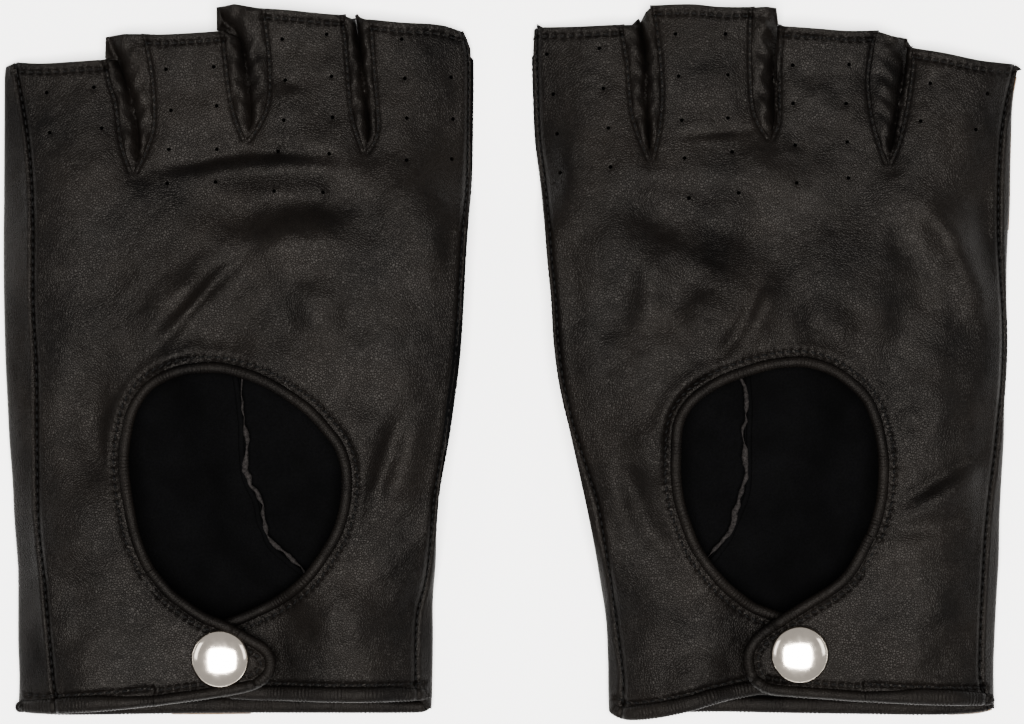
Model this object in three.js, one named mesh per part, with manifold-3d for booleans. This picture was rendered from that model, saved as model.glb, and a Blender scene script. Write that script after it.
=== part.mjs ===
// A pair of fingerless leather driving gloves, lying palm down side by side, backs of the hands up.
// Millimetres, +Z up. X runs across the pair, Y towards the fingers, Z = 0 is the surface they lie on.
// Each glove is drawn in its own (u, v) plan: u grows towards the thumb side, v towards the fingers, and
// (0, 0) lies on the wrist line below the press stud. The right glove is the left-handed plan mirrored.
import * as THREE from "three";
import { mergeVertices } from "three/addons/utils/BufferGeometryUtils.js";
import Module from "manifold-3d";

const wasm = await Module();
wasm.setup();

// ---- driving sizes ----
const HAND_WIDTH = 121; // across the knuckles
const HAND_LENGTH = 184; // from the wrist to the end of the middle finger
const LEATHER = 1.0; // glove leather
const GAP = 0.3; // clearance kept between pieces that are sewn or pressed together
const CELL = 9; // facet size of the curved leather
const PAIR_GAP = 16.5; // between the two gloves

const CAVITY_EDGE = 4.5; // free height inside the glove along its sides
const CAVITY_CROWN = 10.2; // in the middle of the hand and at the wrist
const CAVITY_TIP = 6.5; // at the finger openings
const ROLL = 17; // how far the back takes to round down to the sides
const FINGER_START = 100; // v where the free height begins to fall towards the fingers, at the drawn size
const FINGER_END = 182; // v where it has reached CAVITY_TIP

const EDGE_BINDING = 2.8; // width of the rolled binding round the keyhole and the tab
const WRIST_BINDING = 4.0; // width of the rolled binding along the wrist
const BINDING_PROUD = 0.4; // how far a binding stands above and below its leather
const THREAD = 0.5; // sewing thread
const THREAD_INSET = 1.2; // from a binding's inner edge to its row of stitches
const HEM_INSET = 2.0; // from a finger hem's edge to its row of stitches
const SEAM_INSET = 1.0; // from a side seam to its row of stitches
const CROTCH_RADIUS = 2.6; // half width of a fourchette at the root of two fingers
const SLOT_HALF = 0.5; // half width of the space between two fingers at its root
const SLOT_HALF_TIP = 1.2; // and at the finger ends

const CAP_DIAMETER = 15; // the stud's visible dome
const CAP_HEIGHT = 3.2;
const CAP_SHANK_RADIUS = 1.5;
const SOCKET_DIAMETER = 11;
const SOCKET_HEIGHT = 2.5;
const KNOB_RADIUS = 1.9;
const KNOB_HEIGHT = 2.0;
const STUD_DIAMETER = 10;
const FLANGE = 0.8; // thickness of the stud's and the post's flat rims
const POST_DIAMETER = 9;
const POST_SHANK_RADIUS = 1.2;

const TAB_RADIUS = 9.4; // rounded end of the upper tab
const UNDER_TAB_RADIUS = 8.2; // rounded end of the tab below it
const UNDER_TAB_REACH = 2.4; // how far that end's centre lies beyond the stud
const DIP_START = 17; // u where the under tab is fully down, and where it is level with the back again
const DIP_END = 30;

const THUMB_ROOT = [31, 65]; // centre that the thumb swings about, at the drawn size
const THUMB_THICKNESS = 7.0; // flattened thumb, outside
const THUMB_WIDTH = 32;
const THUMB_BASE_RADIUS = 21;
const THUMB_LENGTH = 60; // from the swing centre to the open end
const THUMB_LEAN = 15; // degrees from straight up, towards the little finger
const THUMB_SWING = 75; // degrees that the thumb swings out
const THUMB_HOLE = [16, 17]; // half axes of the opening between palm and thumb
const LIFT_FALL = 17; // how far the palm takes to come down from the thumb

// What differs between the two gloves as they lie, drawn for one hand size and graded to the sizes above.
// Edge rows are [v, u]; fingers and gaps run from little to index.
const DRAWN_WIDTH = 121;
const DRAWN_LENGTH = 184;
const PLANS = {
  left: {
    littleEdge: [[-2, -51.8], [30, -52.8], [60, -54.4], [95, -56], [130, -56.4], [190, -56]],
    thumbEdge: [[-2, 54.4], [35, 55], [76, 58.8], [107, 61.9], [143, 64.6], [190, 64.2]],
    littleSeam: [9.5, 7.6, 3.6], // width of palm leather showing beside the seam: wrist, hand, finger end
    thumbSeam: [4.9, 2.2, 2.2],
    fingers: [
      { name: "little", from: [-55, 168.2], to: [-30, 169.7] },
      { name: "ring", from: [-19.4, 175], to: [0.3, 176.2] },
      { name: "middle", from: [11.1, 182], to: [32, 180.6] },
      { name: "index", from: [39.3, 179.4], to: [63, 177] },
    ],
    gaps: [
      { crotch: [-22, 142.5], tip: -29.4 },
      { crotch: [6.5, 150.5], tip: -0.2 },
      { crotch: [37.7, 147.5], tip: 35.7 },
    ],
    keyhole: { centre: 5, bottom: 25.1, width: 57.8, height: 63.6, lean: 5.7 },
    stud: [0, 14.7],
    tabEnd: [5.1, -0.9], // centre of the tab's rounded end, from the stud
    wristLittle: [0.4, 3.4], // v of the back's lower edge at the side and at the tab
    wristThumb: [2.1, 4.4],
    palmWrist: -0.3,
  },
  right: {
    littleEdge: [[-2, -51.4], [30, -52.2], [56, -53.2], [95, -54.6], [133, -55.6], [190, -57.8]],
    thumbEdge: [[-2, 48.6], [30, 49.9], [61, 55.8], [92, 62.4], [133, 65.4], [190, 68.6]],
    littleSeam: [4.6, 3.2, 2.4],
    thumbSeam: [4.6, 2.6, 2.2],
    fingers: [
      { name: "little", from: [-57, 169], to: [-30, 172.6] },
      { name: "ring", from: [-20.4, 176.7], to: [2.8, 178] },
      { name: "middle", from: [11.4, 183], to: [37.4, 183.7] },
      { name: "index", from: [43.4, 178.3], to: [67.7, 177.8] },
    ],
    gaps: [
      { crotch: [-23.5, 146], tip: -29.6 },
      { crotch: [7, 151.5], tip: 4.2 },
      { crotch: [37.2, 145], tip: 40.4 },
    ],
    keyhole: { centre: 5.5, bottom: 26, width: 57, height: 66, lean: 6 },
    stud: [0, 15.8],
    tabEnd: [4.5, -0.8],
    wristLittle: [3, 3],
    wristThumb: [-0.9, 5.6],
    palmWrist: 0,
  },
};

const LEATHER_BLACK = { color: 0x1d1b1a, roughness: 0.5, metalness: 0 };
const MATERIALS = {
  leather: new THREE.MeshStandardMaterial(LEATHER_BLACK),
  binding: new THREE.MeshStandardMaterial({ ...LEATHER_BLACK, roughness: 0.45 }),
  thread: new THREE.MeshStandardMaterial({ color: 0x141313, roughness: 0.7, metalness: 0 }),
  metal: new THREE.MeshStandardMaterial({ color: 0xd6d3ce, roughness: 0.2, metalness: 1 }),
};

// ---- solids ----
function solidOf(geometry) {
  const bare = geometry.index ? geometry.toNonIndexed() : geometry.clone();
  bare.deleteAttribute("normal");
  bare.deleteAttribute("uv");
  const merged = mergeVertices(bare, 1e-4);
  return new wasm.Manifold(
    new wasm.Mesh({
      numProp: 3,
      vertProperties: new Float32Array(merged.attributes.position.array),
      triVerts: new Uint32Array(merged.index.array),
    }),
  );
}

function meshOf(name, solid, material) {
  const made = solid.getMesh();
  const geometry = new THREE.BufferGeometry()
    .setAttribute("position", new THREE.BufferAttribute(new Float32Array(made.vertProperties), 3))
    .setIndex(new THREE.BufferAttribute(new Uint32Array(made.triVerts), 1));
  geometry.computeVertexNormals();
  const mesh = new THREE.Mesh(geometry, MATERIALS[material]);
  mesh.name = name;
  return mesh;
}

// A straight-sided solid on a closed plan outline.
function prism(outline, low = -40, high = 60) {
  const shape = new THREE.Shape(outline.map(([u, v]) => new THREE.Vector2(u, v)));
  const geometry = new THREE.ExtrudeGeometry(shape, { depth: high - low, bevelEnabled: false });
  return solidOf(geometry.translate(0, 0, low));
}

function disc(centre, radius, low, high) {
  const geometry = new THREE.CylinderGeometry(radius, radius, high - low, 24);
  return solidOf(geometry.rotateX(Math.PI / 2).translate(centre[0], centre[1], (low + high) / 2));
}

// The solid between two height functions, faceted on a grid that starts at gridU.
function terrain(low, high, box, gridU) {
  const [u0, v0] = [Math.floor((box[0] - gridU) / CELL) - 1, Math.floor(box[1] / CELL) - 1];
  const [u1, v1] = [Math.ceil((box[2] - gridU) / CELL) + 1, Math.ceil(box[3] / CELL) + 1];
  const across = u1 - u0 + 1;
  const along = v1 - v0 + 1;
  const points = [];
  for (const height of [low, high])
    for (let j = 0; j < along; j++)
      for (let i = 0; i < across; i++) {
        const u = gridU + (u0 + i) * CELL;
        const v = (v0 + j) * CELL;
        points.push(u, v, height(u, v));
      }
  const layer = across * along;
  const faces = [];
  const quad = (a, b, c, d) => faces.push(a, b, c, a, c, d);
  const at = (i, j) => j * across + i;
  for (let j = 0; j + 1 < along; j++)
    for (let i = 0; i + 1 < across; i++) {
      const [a, b, c, d] = [at(i, j), at(i + 1, j), at(i + 1, j + 1), at(i, j + 1)];
      quad(a + layer, b + layer, c + layer, d + layer);
      faces.push(a, c, b, a, d, c);
    }
  const wall = (a, b) => quad(a, b, b + layer, a + layer);
  for (let i = 0; i + 1 < across; i++) {
    wall(at(i, 0), at(i + 1, 0));
    wall(at(i + 1, along - 1), at(i, along - 1));
  }
  for (let j = 0; j + 1 < along; j++) {
    wall(at(0, j + 1), at(0, j));
    wall(at(across - 1, j), at(across - 1, j + 1));
  }
  const geometry = new THREE.BufferGeometry()
    .setAttribute("position", new THREE.BufferAttribute(new Float32Array(points), 3))
    .setIndex(faces);
  return solidOf(geometry);
}

function boxOf(outline) {
  const us = outline.map((p) => p[0]);
  const vs = outline.map((p) => p[1]);
  return [Math.min(...us), Math.min(...vs), Math.max(...us), Math.max(...vs)];
}

// ---- plan curves ----
// An open path moved sideways, to its left for a positive distance.
function offset(path, distance) {
  return path.map(([u, v], i) => {
    const [a, b] = [path[Math.max(i - 1, 0)], path[Math.min(i + 1, path.length - 1)]];
    const length = Math.hypot(b[0] - a[0], b[1] - a[1]);
    return [u - ((b[1] - a[1]) / length) * distance, v + ((b[0] - a[0]) / length) * distance];
  });
}

// The outline of a strip along an open path, between two sideways distances.
const strip = (path, near, far) => [...offset(path, near), ...offset(path, far).reverse()];
const ribbon = (path) => strip(path, -THREAD / 2, THREAD / 2);

function arc(centre, radius, from, to, steps) {
  return Array.from({ length: steps + 1 }, (_, i) => {
    const turn = THREE.MathUtils.degToRad(from + ((to - from) * i) / steps);
    return [centre[0] + radius * Math.cos(turn), centre[1] + radius * Math.sin(turn)];
  });
}

const mix = (a, b, t) => a + (b - a) * t;
const between = (a, b, t) => [mix(a[0], b[0], t), mix(a[1], b[1], t)];
const clamp = (x) => Math.min(1, Math.max(0, x));
const ease = (x) => clamp(x) * clamp(x) * (3 - 2 * clamp(x));

// The value at v of a list of rows [[v, u], ...].
function along(rows, v) {
  const past = rows.filter((row) => row[0] <= v).length;
  const i = Math.min(Math.max(past - 1, 0), rows.length - 2);
  const [a, b] = [rows[i], rows[i + 1]];
  return mix(a[1], b[1], clamp((v - a[0]) / (b[0] - a[0])));
}

function distanceTo(path, u, v) {
  let best = Infinity;
  for (let i = 0; i + 1 < path.length; i++) {
    const [a, b] = [path[i], path[i + 1]];
    const [du, dv] = [b[0] - a[0], b[1] - a[1]];
    const t = clamp(((u - a[0]) * du + (v - a[1]) * dv) / (du * du + dv * dv));
    best = Math.min(best, Math.hypot(u - a[0] - t * du, v - a[1] - t * dv));
  }
  return best;
}

const across = (u) => (u * HAND_WIDTH) / DRAWN_WIDTH;
const lengthwise = (v) => (v * HAND_LENGTH) / DRAWN_LENGTH;
const gradedPoint = ([u, v]) => [across(u), lengthwise(v)];

function graded(plan) {
  const edge = (rows) => rows.map(([v, u]) => [lengthwise(v), across(u)]);
  const { keyhole } = plan;
  return {
    ...plan,
    littleEdge: edge(plan.littleEdge),
    thumbEdge: edge(plan.thumbEdge),
    fingers: plan.fingers.map((f) => ({ ...f, from: gradedPoint(f.from), to: gradedPoint(f.to) })),
    gaps: plan.gaps.map((gap) => ({ crotch: gradedPoint(gap.crotch), tip: across(gap.tip) })),
    keyhole: {
      centre: across(keyhole.centre),
      width: across(keyhole.width),
      bottom: lengthwise(keyhole.bottom),
      height: lengthwise(keyhole.height),
      lean: across(keyhole.lean),
    },
    stud: gradedPoint(plan.stud),
  };
}

// ---- one glove ----
function makeGlove(side) {
  const plan = graded(PLANS[side]);
  const group = new THREE.Group();
  const add = (name, solid, material) => group.add(meshOf(`${side}_${name}`, solid, material));
  const { fingers, gaps, keyhole, stud } = plan;
  const top = (k) => Math.max(...fingers.flatMap((f) => [f.from[1], f.to[1]])) + k;

  // The keyhole in the back, from the tab's fold round to where it passes under the tab.
  const keyholeAt = (turn) => [
    keyhole.centre + (keyhole.width / 2) * Math.sin(turn) - keyhole.lean * ((1 - Math.cos(turn)) / 2) ** 2,
    keyhole.bottom + (keyhole.height * (1 - Math.cos(turn))) / 2,
  ];
  const foldTurn = -0.85; // where the tab's fold meets the keyhole
  const crossTurn = 0.2; // where the keyhole's other side passes under the tab
  const keyholePath = Array.from({ length: 25 }, (_, i) =>
    keyholeAt(mix(2 * Math.PI + foldTurn, crossTurn, i / 24)),
  );
  const foldTop = keyholePath[0];
  const foldU = foldTop[0];
  const around = [-0.62 * HAND_WIDTH, -30, 0.7 * HAND_WIDTH, HAND_LENGTH + 16];
  const relief = (low, high, box = around) => terrain(low, high, box, foldU);
  const sheet = (outline, low, high) => relief(low, high, boxOf(outline)).intersect(prism(outline));

  // How far v has come, from 0 to 1, between two places of the drawn plan.
  const fingerward = (v, from, to) => ease((v - lengthwise(from)) / lengthwise(to - from));

  // Side edges and seams. A seam lies inside its edge by a width that changes from wrist to finger end.
  const edgeU = (which, v) => along(plan[which + "Edge"], v);
  const seamWidth = (which, v) => {
    const [wrist, hand, tip] = plan[which + "Seam"];
    return mix(mix(wrist, hand, fingerward(v, 0, 60)), tip, fingerward(v, FINGER_START, 170));
  };
  const inward = { little: 1, thumb: -1 };
  const sidePath = (which, inset, from, to, steps = 10) =>
    Array.from({ length: steps + 1 }, (_, i) => {
      const v = mix(from, to, i / steps);
      return [edgeU(which, v) + inward[which] * inset(v), v];
    });
  const seam = (which, shift) => (v) => seamWidth(which, v) + shift;

  // Finger gaps: the open slot between two fingers, and the fourchette that lines it.
  const slotCentre = (gap, v) =>
    mix(gap.crotch[0], gap.tip, clamp((v - gap.crotch[1]) / (fingers[2].from[1] - gap.crotch[1])));
  const slotOutline = (gap, grow, end) => {
    const [u, v] = gap.crotch;
    const tip = slotCentre(gap, end);
    const bottom = v - grow;
    return [
      [tip - SLOT_HALF_TIP - grow, end],
      [u - SLOT_HALF - grow, bottom],
      [u + SLOT_HALF + grow, bottom],
      [tip + SLOT_HALF_TIP + grow, end],
    ];
  };
  const gapOutline = (i, grow, end) => {
    const [u, v] = gaps[i].crotch;
    const [left, right] = [fingers[i].to, fingers[i + 1].from];
    const slope = (p, at) => (p[0] - at) / (p[1] - v);
    const [uLeft, uRight] = [u - CROTCH_RADIUS, u + CROTCH_RADIUS];
    return [
      [left[0] + slope(left, uLeft) * (end - left[1]) - grow, end],
      ...arc([u, v], CROTCH_RADIUS + grow, 180, 360, 6),
      [right[0] + slope(right, uRight) * (end - right[1]) + grow, end],
    ];
  };

  // The plan of the whole glove, with the slots cut in: its sides inset by a wall, its ends at given v.
  const bodyPlan = (inset, wristV, hem) => {
    const side = (which) => sidePath(which, () => inset, wristV, top(2));
    let solid = prism([...side("little"), ...side("thumb").reverse()]);
    for (const gap of gaps) solid = solid.subtract(prism(slotOutline(gap, inset, top(4))));
    return hem ? solid.subtract(prism(hem)) : solid;
  };
  // Everything past the finger hems: a stepped outline along the ends of the four fingers.
  const pastHems = () => {
    const line = [];
    fingers.forEach((finger, i) => {
      const slope = (finger.to[1] - finger.from[1]) / (finger.to[0] - finger.from[0]);
      const hemV = (u) => finger.from[1] + slope * (u - finger.from[0]);
      const from = i ? slotCentre(gaps[i - 1], finger.from[1]) : finger.from[0] - 20;
      const to = i < 3 ? slotCentre(gaps[i], finger.to[1]) : finger.to[0] + 20;
      line.push([from, hemV(from)], [to, hemV(to)]);
    });
    return [...line, [line.at(-1)[0], top(9)], [line[0][0], top(9)]];
  };

  // Heights. The palm is raised where the thumb lies folded under it.
  const swing = gradedPoint(THUMB_ROOT); // centre that the thumb swings about
  const lean = THREE.MathUtils.degToRad(90 + THUMB_LEAN);
  const reach = THUMB_LENGTH + 4;
  const liftZone = [
    ...arc(swing, reach, 90 + THUMB_LEAN + 17, 90 + THUMB_LEAN - THUMB_SWING - 20, 8),
    ...arc(swing, THUMB_BASE_RADIUS + 3, 0, -180, 8),
  ];
  const liftPath = [...liftZone, liftZone[0]];
  const lift = (u, v) => {
    const inside = liftZone.reduce((odd, a, i) => {
      const b = liftPath[i + 1];
      const crosses = a[1] > v !== b[1] > v && u < a[0] + ((v - a[1]) * (b[0] - a[0])) / (b[1] - a[1]);
      return crosses ? !odd : odd;
    }, false);
    const away = inside ? 0 : distanceTo(liftPath, u, v) - CELL;
    const seat = Math.hypot(u - stud[0], v - stud[1]) - CAP_DIAMETER / 2 - CELL;
    return (THUMB_THICKNESS + GAP) * ease(1 - Math.max(0, away) / LIFT_FALL) * ease(seat / CELL);
  };
  const palmLow = lift;
  const palmTop = (u, v) => palmLow(u, v) + LEATHER;
  const sides = ["little", "thumb"].map((which) => sidePath(which, () => 0, -20, top(10), 16));
  const slots = gaps.map((gap) => [gap.crotch, [slotCentre(gap, top(4)), top(4)]]);
  const freeHeight = (u, v) => {
    const near = Math.min(...[...sides, ...slots].map((path) => distanceTo(path, u, v)));
    const crown = mix(CAVITY_CROWN, CAVITY_TIP, fingerward(v, FINGER_START, FINGER_END));
    return mix(CAVITY_EDGE, crown, Math.sin((Math.PI / 2) * clamp(near / ROLL)));
  };
  const backLow = (u, v) => palmTop(u, v) + freeHeight(u, v);
  const backTop = (u, v) => backLow(u, v) + LEATHER;
  const middle = (u, v) => palmTop(u, v) + CAVITY_EDGE / 2;
  const sky = () => 50;
  const raised = (height, by) => (u, v) => height(u, v) + by;

  // The leather shell: a closed bag, open at the wrist and the finger ends, later cut along its seams.
  const floorV = Math.min(plan.palmWrist, plan.wristThumb[0], plan.wristLittle[0]);
  const outer = relief(palmLow, backTop).intersect(bodyPlan(0, floorV, pastHems()));
  const inner = relief(palmTop, backLow).intersect(bodyPlan(LEATHER, floorV - 20, null));
  const shell = outer.subtract(inner);

  // Back panel outline: side seams, finger edges, keyhole, tab fold and wrist.
  const wristV = (which, u) => {
    const [corner, tab] = plan["wrist" + which];
    const edge = edgeU(which.toLowerCase(), 0);
    return mix(corner, tab, ease((u - edge) / (stud[0] - edge)));
  };
  const wristPath = (which, from, to, shift, steps = 8) =>
    Array.from({ length: steps + 1 }, (_, i) => {
      const u = mix(from, to, i / steps);
      return [u, wristV(which, u) + shift];
    });
  const underTab = (inset) => {
    const centre = [stud[0] - UNDER_TAB_REACH, stud[1] - 0.5];
    return arc(centre, UNDER_TAB_RADIUS - inset, 80, 280, 10);
  };
  const backHeights = {
    low: (u, v) => backLow(u, v) - dip(u, v),
    high: (u, v) => backTop(u, v) - dip(u, v),
  };
  const snapStack = FLANGE + SOCKET_HEIGHT + 3 * GAP; // between the two tabs' leathers
  const tabDrop = snapStack + LEATHER;
  function dip(u, v) {
    if (u < foldU + 1) return 0;
    const sideways = 1 - ease((u - DIP_START) / (DIP_END - DIP_START));
    const upwards = 1 - ease((v - keyhole.bottom - 6) / 14);
    return tabDrop * sideways * upwards;
  }

  const seamPoint = (which, v) => [edgeU(which, v) + inward[which] * seamWidth(which, v), v];
  const thumbSideWrist = Math.min(seamPoint("thumb", 0)[0], seamPoint("thumb", 10)[0]);
  const panelInset = EDGE_BINDING + GAP;
  const backOutline = (grow) => {
    const hems = fingers.flatMap((finger, i) => {
      const start = i ? [] : [[seamPoint("little", 171)[0] - grow, top(3)]];
      const end = i < 3 ? gapOutline(i, -grow, top(3)) : [[seamPoint("thumb", 177)[0] + grow, top(3)]];
      return [...start, ...end];
    });
    return [
      ...wristPath("Little", foldU - GAP / 2, seamPoint("little", 5)[0] - grow, WRIST_BINDING + GAP),
      ...sidePath("little", seam("little", -grow), 12, lengthwise(160)),
      ...hems,
      ...sidePath("thumb", seam("thumb", -grow), lengthwise(160), 12),
      ...wristPath("Thumb", thumbSideWrist + grow, stud[0] + 2, WRIST_BINDING + GAP),
      ...underTab(panelInset).reverse(),
      ...offset(keyholePath, panelInset).reverse(),
      [foldU - GAP / 2, foldTop[1] - 1.3 * panelInset],
    ];
  };

  // Palm panel: what is left of the shell when the back and the fourchettes are cut out of it.
  const backCut = (grow) => {
    const left = sidePath("little", seam("little", -grow), floorV - 5, top(3), 14);
    const right = sidePath("thumb", seam("thumb", -grow), floorV - 5, top(3), 14);
    return relief(middle, sky).intersect(prism([...left, ...right.reverse()]));
  };
  const holeCentre = [swing[0], swing[1] + 2];
  const ellipse = (half, grow) =>
    arc([0, 0], 1, 0, 337.5, 15).map(([x, y]) => [
      holeCentre[0] + x * (half[0] + grow),
      holeCentre[1] + y * (half[1] + grow),
    ]);
  const palmBindingPath = (v, grow = 0) => [
    [edgeU("little", 3) + LEATHER + 2 * GAP - grow, v],
    [edgeU("thumb", 3) - LEATHER - 2 * GAP + grow, v],
  ];
  let palm = shell.subtract(backCut(GAP / 2));
  for (const i of [0, 1, 2])
    palm = palm.subtract(
      relief(palmTop, sky).intersect(prism(gapOutline(i, GAP / 2, top(3)))),
    );
  const floorHole = (outline) => prism(outline).intersect(relief(() => -5, middle));
  palm = palm.subtract(floorHole(ellipse(THUMB_HOLE, 0)));
  const palmHem = strip(palmBindingPath(-30, GAP), 0, 30 + plan.palmWrist + WRIST_BINDING + GAP);
  palm = palm.subtract(floorHole(palmHem));
  add("palm_panel", palm, "leather");

  // Back panel.
  const backSheet = (outline, more = 0) =>
    sheet(outline, raised(backHeights.low, -more), raised(backHeights.high, more));
  const hemCut = prism(pastHems());
  let back = backSheet(backOutline(-GAP / 2)).subtract(hemCut);
  back = back.subtract(prism(arc(stud, POST_SHANK_RADIUS + GAP, 0, 330, 11)));
  add("back_panel", back, "leather");

  // Fourchettes: the narrow side walls that line each gap between two fingers.
  const names = ["little_ring", "ring_middle", "middle_index"];
  gaps.forEach((_, i) => {
    const zone = relief(raised(palmTop, GAP), sky);
    const made = shell.intersect(prism(gapOutline(i, -GAP / 2, top(3)))).intersect(zone);
    add(`fourchette_${names[i]}`, made, "leather");
  });

  // Bindings and stitches on the fixed leather.
  const bound = (path, near, far) => backSheet(strip(path, near, far), BINDING_PROUD);
  const stitched = (path, surface = backHeights.high) =>
    sheet(ribbon(path), raised(surface, GAP), raised(surface, GAP + THREAD));
  add("keyhole_binding", bound(keyholePath, 0, EDGE_BINDING), "binding");
  add("keyhole_stitching", stitched(offset(keyholePath, panelInset + THREAD_INSET)), "thread");

  const clearOfStud = prism(arc(stud, STUD_DIAMETER / 2 + GAP, 0, 345, 23));
  const halves = {
    little: ["Little", seamPoint("little", 5)[0] + GAP, foldU - GAP],
    thumb: ["Thumb", stud[0] + 4, thumbSideWrist - GAP],
  };
  for (const [name, [which, from, to]] of Object.entries(halves)) {
    const path = wristPath(which, from, to, 0);
    add(`wrist_binding_${name}`, bound(path, 0, WRIST_BINDING), "binding");
    const row = wristPath(which, from, to, WRIST_BINDING + GAP + THREAD_INSET);
    add(`wrist_stitching_${name}`, stitched(row).subtract(clearOfStud), "thread");
  }
  const palmBinding = sheet(
    strip(palmBindingPath(plan.palmWrist), 0, WRIST_BINDING),
    palmLow,
    raised(palmTop, BINDING_PROUD),
  );
  add("palm_binding", palmBinding, "binding");

  fingers.forEach((finger, i) => {
    const inset = (p, q, d) => between(p, q, d / Math.hypot(q[0] - p[0], q[1] - p[1]));
    const start = i ? finger.from : [seamPoint("little", finger.from[1])[0], finger.from[1]];
    const end = i < 3 ? finger.to : [seamPoint("thumb", finger.to[1])[0], finger.to[1]];
    const row = [inset(start, end, 1.5), inset(end, start, 1.5)].map(([u, v]) => [u, v - HEM_INSET]);
    add(`${finger.name}_hem_stitching`, stitched(row), "thread");
  });
  for (const which of ["little", "thumb"]) {
    const row = sidePath(which, seam(which, SEAM_INSET), 10, lengthwise(160));
    add(`${which}_seam_stitching`, stitched(row), "thread");
  }

  // Upper tab, which folds open, with its binding.
  const tabCentre = [stud[0] + plan.tabEnd[0], stud[1] + plan.tabEnd[1]];
  const tabPath = (inset) => {
    const upper = Array.from({ length: 6 }, (_, i) => keyholeAt(foldTurn * mix(1, 0.45, i / 5)));
    const lower = wristPath("Little", stud[0] - 4, foldU, 0, 4);
    return offset([...upper, ...arc(tabCentre, TAB_RADIUS, 75, -80, 10), ...lower], -inset);
  };
  const tabBody = (solid) => {
    const edge = foldU + GAP / 2;
    return solid.subtract(prism([[edge, -30], [edge, 90], [edge - 40, 90], [edge - 40, -30]]));
  };
  const capHole = prism(arc(stud, CAP_SHANK_RADIUS + GAP, 0, 330, 11));
  const tab = sheet(tabPath(panelInset), backLow, backTop).subtract(capHole);
  add("snap_tab", tabBody(tab), "leather");
  const binding = sheet(
    strip(tabPath(0), -EDGE_BINDING, 0),
    raised(backLow, -BINDING_PROUD),
    raised(backTop, BINDING_PROUD),
  );
  add("tab_binding", tabBody(binding), "binding");
  add("tab_stitching", tabBody(stitched(tabPath(panelInset + THREAD_INSET), backTop)), "thread");

  // Press stud: cap and socket on the tab, stud and post on the leather under it.
  const [studU, studV] = stud;
  const tabTop = backTop(studU, studV);
  const lathe = (name, profile, z) => {
    const geometry = new THREE.LatheGeometry(profile.map(([r, h]) => new THREE.Vector2(r, h)), 20);
    add(name, solidOf(geometry.rotateX(Math.PI / 2).translate(studU, studV, z)), "metal");
  };
  const dome = arc([0, 0], 1, 0, 90, 5).map(([x, y]) => [
    (CAP_DIAMETER / 2) * x,
    0.9 + (CAP_HEIGHT - 0.9) * y,
  ]);
  const capRise = THREAD + 2 * GAP;
  const capFoot = capRise + LEATHER + GAP + 0.6;
  lathe(
    "snap_cap",
    [[0, -capFoot], [CAP_SHANK_RADIUS, -capFoot], [CAP_SHANK_RADIUS, 0], [CAP_DIAMETER / 2 - 0.6, 0],
      [CAP_DIAMETER / 2, 0.4], ...dome.slice(0, -1), [0, CAP_HEIGHT]],
    tabTop + capRise,
  );
  const socketTop = tabTop - LEATHER - GAP;
  const bore = KNOB_RADIUS + 2 * GAP;
  const socketRadius = SOCKET_DIAMETER / 2;
  lathe(
    "snap_socket",
    [[bore, -SOCKET_HEIGHT], [socketRadius - 0.7, -SOCKET_HEIGHT], [socketRadius, -SOCKET_HEIGHT + 0.7],
      [socketRadius, -0.3], [socketRadius - 0.4, 0], [bore, 0], [bore, -SOCKET_HEIGHT]],
    socketTop,
  );
  const underTop = tabTop - tabDrop;
  lathe(
    "snap_stud",
    [[0, 0], [STUD_DIAMETER / 2, 0], [STUD_DIAMETER / 2, FLANGE * 0.6], [STUD_DIAMETER / 2 - 0.8, FLANGE],
      [KNOB_RADIUS - 0.4, FLANGE], [KNOB_RADIUS - 0.4, FLANGE + 0.4], [KNOB_RADIUS, FLANGE + 0.9],
      [KNOB_RADIUS - 0.5, FLANGE + KNOB_HEIGHT - 0.4], [0, FLANGE + KNOB_HEIGHT - 0.4]],
    underTop + GAP,
  );
  const postRadius = POST_DIAMETER / 2;
  lathe(
    "snap_post",
    [[0, -FLANGE], [postRadius - 0.4, -FLANGE], [postRadius, -FLANGE * 0.5], [postRadius, 0],
      [POST_SHANK_RADIUS, 0], [POST_SHANK_RADIUS, LEATHER + GAP], [0, LEATHER + GAP]],
    underTop - LEATHER - GAP,
  );

  // Thumb: a base sewn round the palm's opening, and the open stall that swings out from it.
  const thumbTop = THUMB_THICKNESS;
  const doorSpan = [90 + THUMB_LEAN + 46, 90 + THUMB_LEAN - THUMB_SWING - 46];
  const doorway = (radius, low, high) => prism([swing, ...arc(swing, radius, ...doorSpan, 12)], low, high);
  let base = disc(swing, THUMB_BASE_RADIUS, 0, thumbTop);
  base = base.subtract(disc(swing, THUMB_BASE_RADIUS - LEATHER, LEATHER, thumbTop - LEATHER));
  base = base.subtract(doorway(THUMB_BASE_RADIUS + 5, LEATHER, thumbTop - LEATHER));
  base = base.subtract(prism(ellipse(THUMB_HOLE, -1), 2, 20));
  add("thumb_base", base, "leather");

  const tube = (width, low, high, from, to) => {
    const half = width / 2;
    const turned = (x, y) => [
      swing[0] + x * Math.sin(lean) + y * Math.cos(lean),
      swing[1] - x * Math.cos(lean) + y * Math.sin(lean),
    ];
    return prism([turned(-half, from), turned(half, from), turned(half, to), turned(-half, to)], low, high);
  };
  let stall = tube(THUMB_WIDTH, 0, thumbTop, 5, THUMB_LENGTH);
  stall = stall.subtract(tube(THUMB_WIDTH - 2 * LEATHER, LEATHER, thumbTop - LEATHER, 0, THUMB_LENGTH + 5));
  stall = stall.subtract(disc(swing, THUMB_BASE_RADIUS + GAP, -5, 20));
  add("thumb_stall", stall, "leather");
  return group;
}

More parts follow.
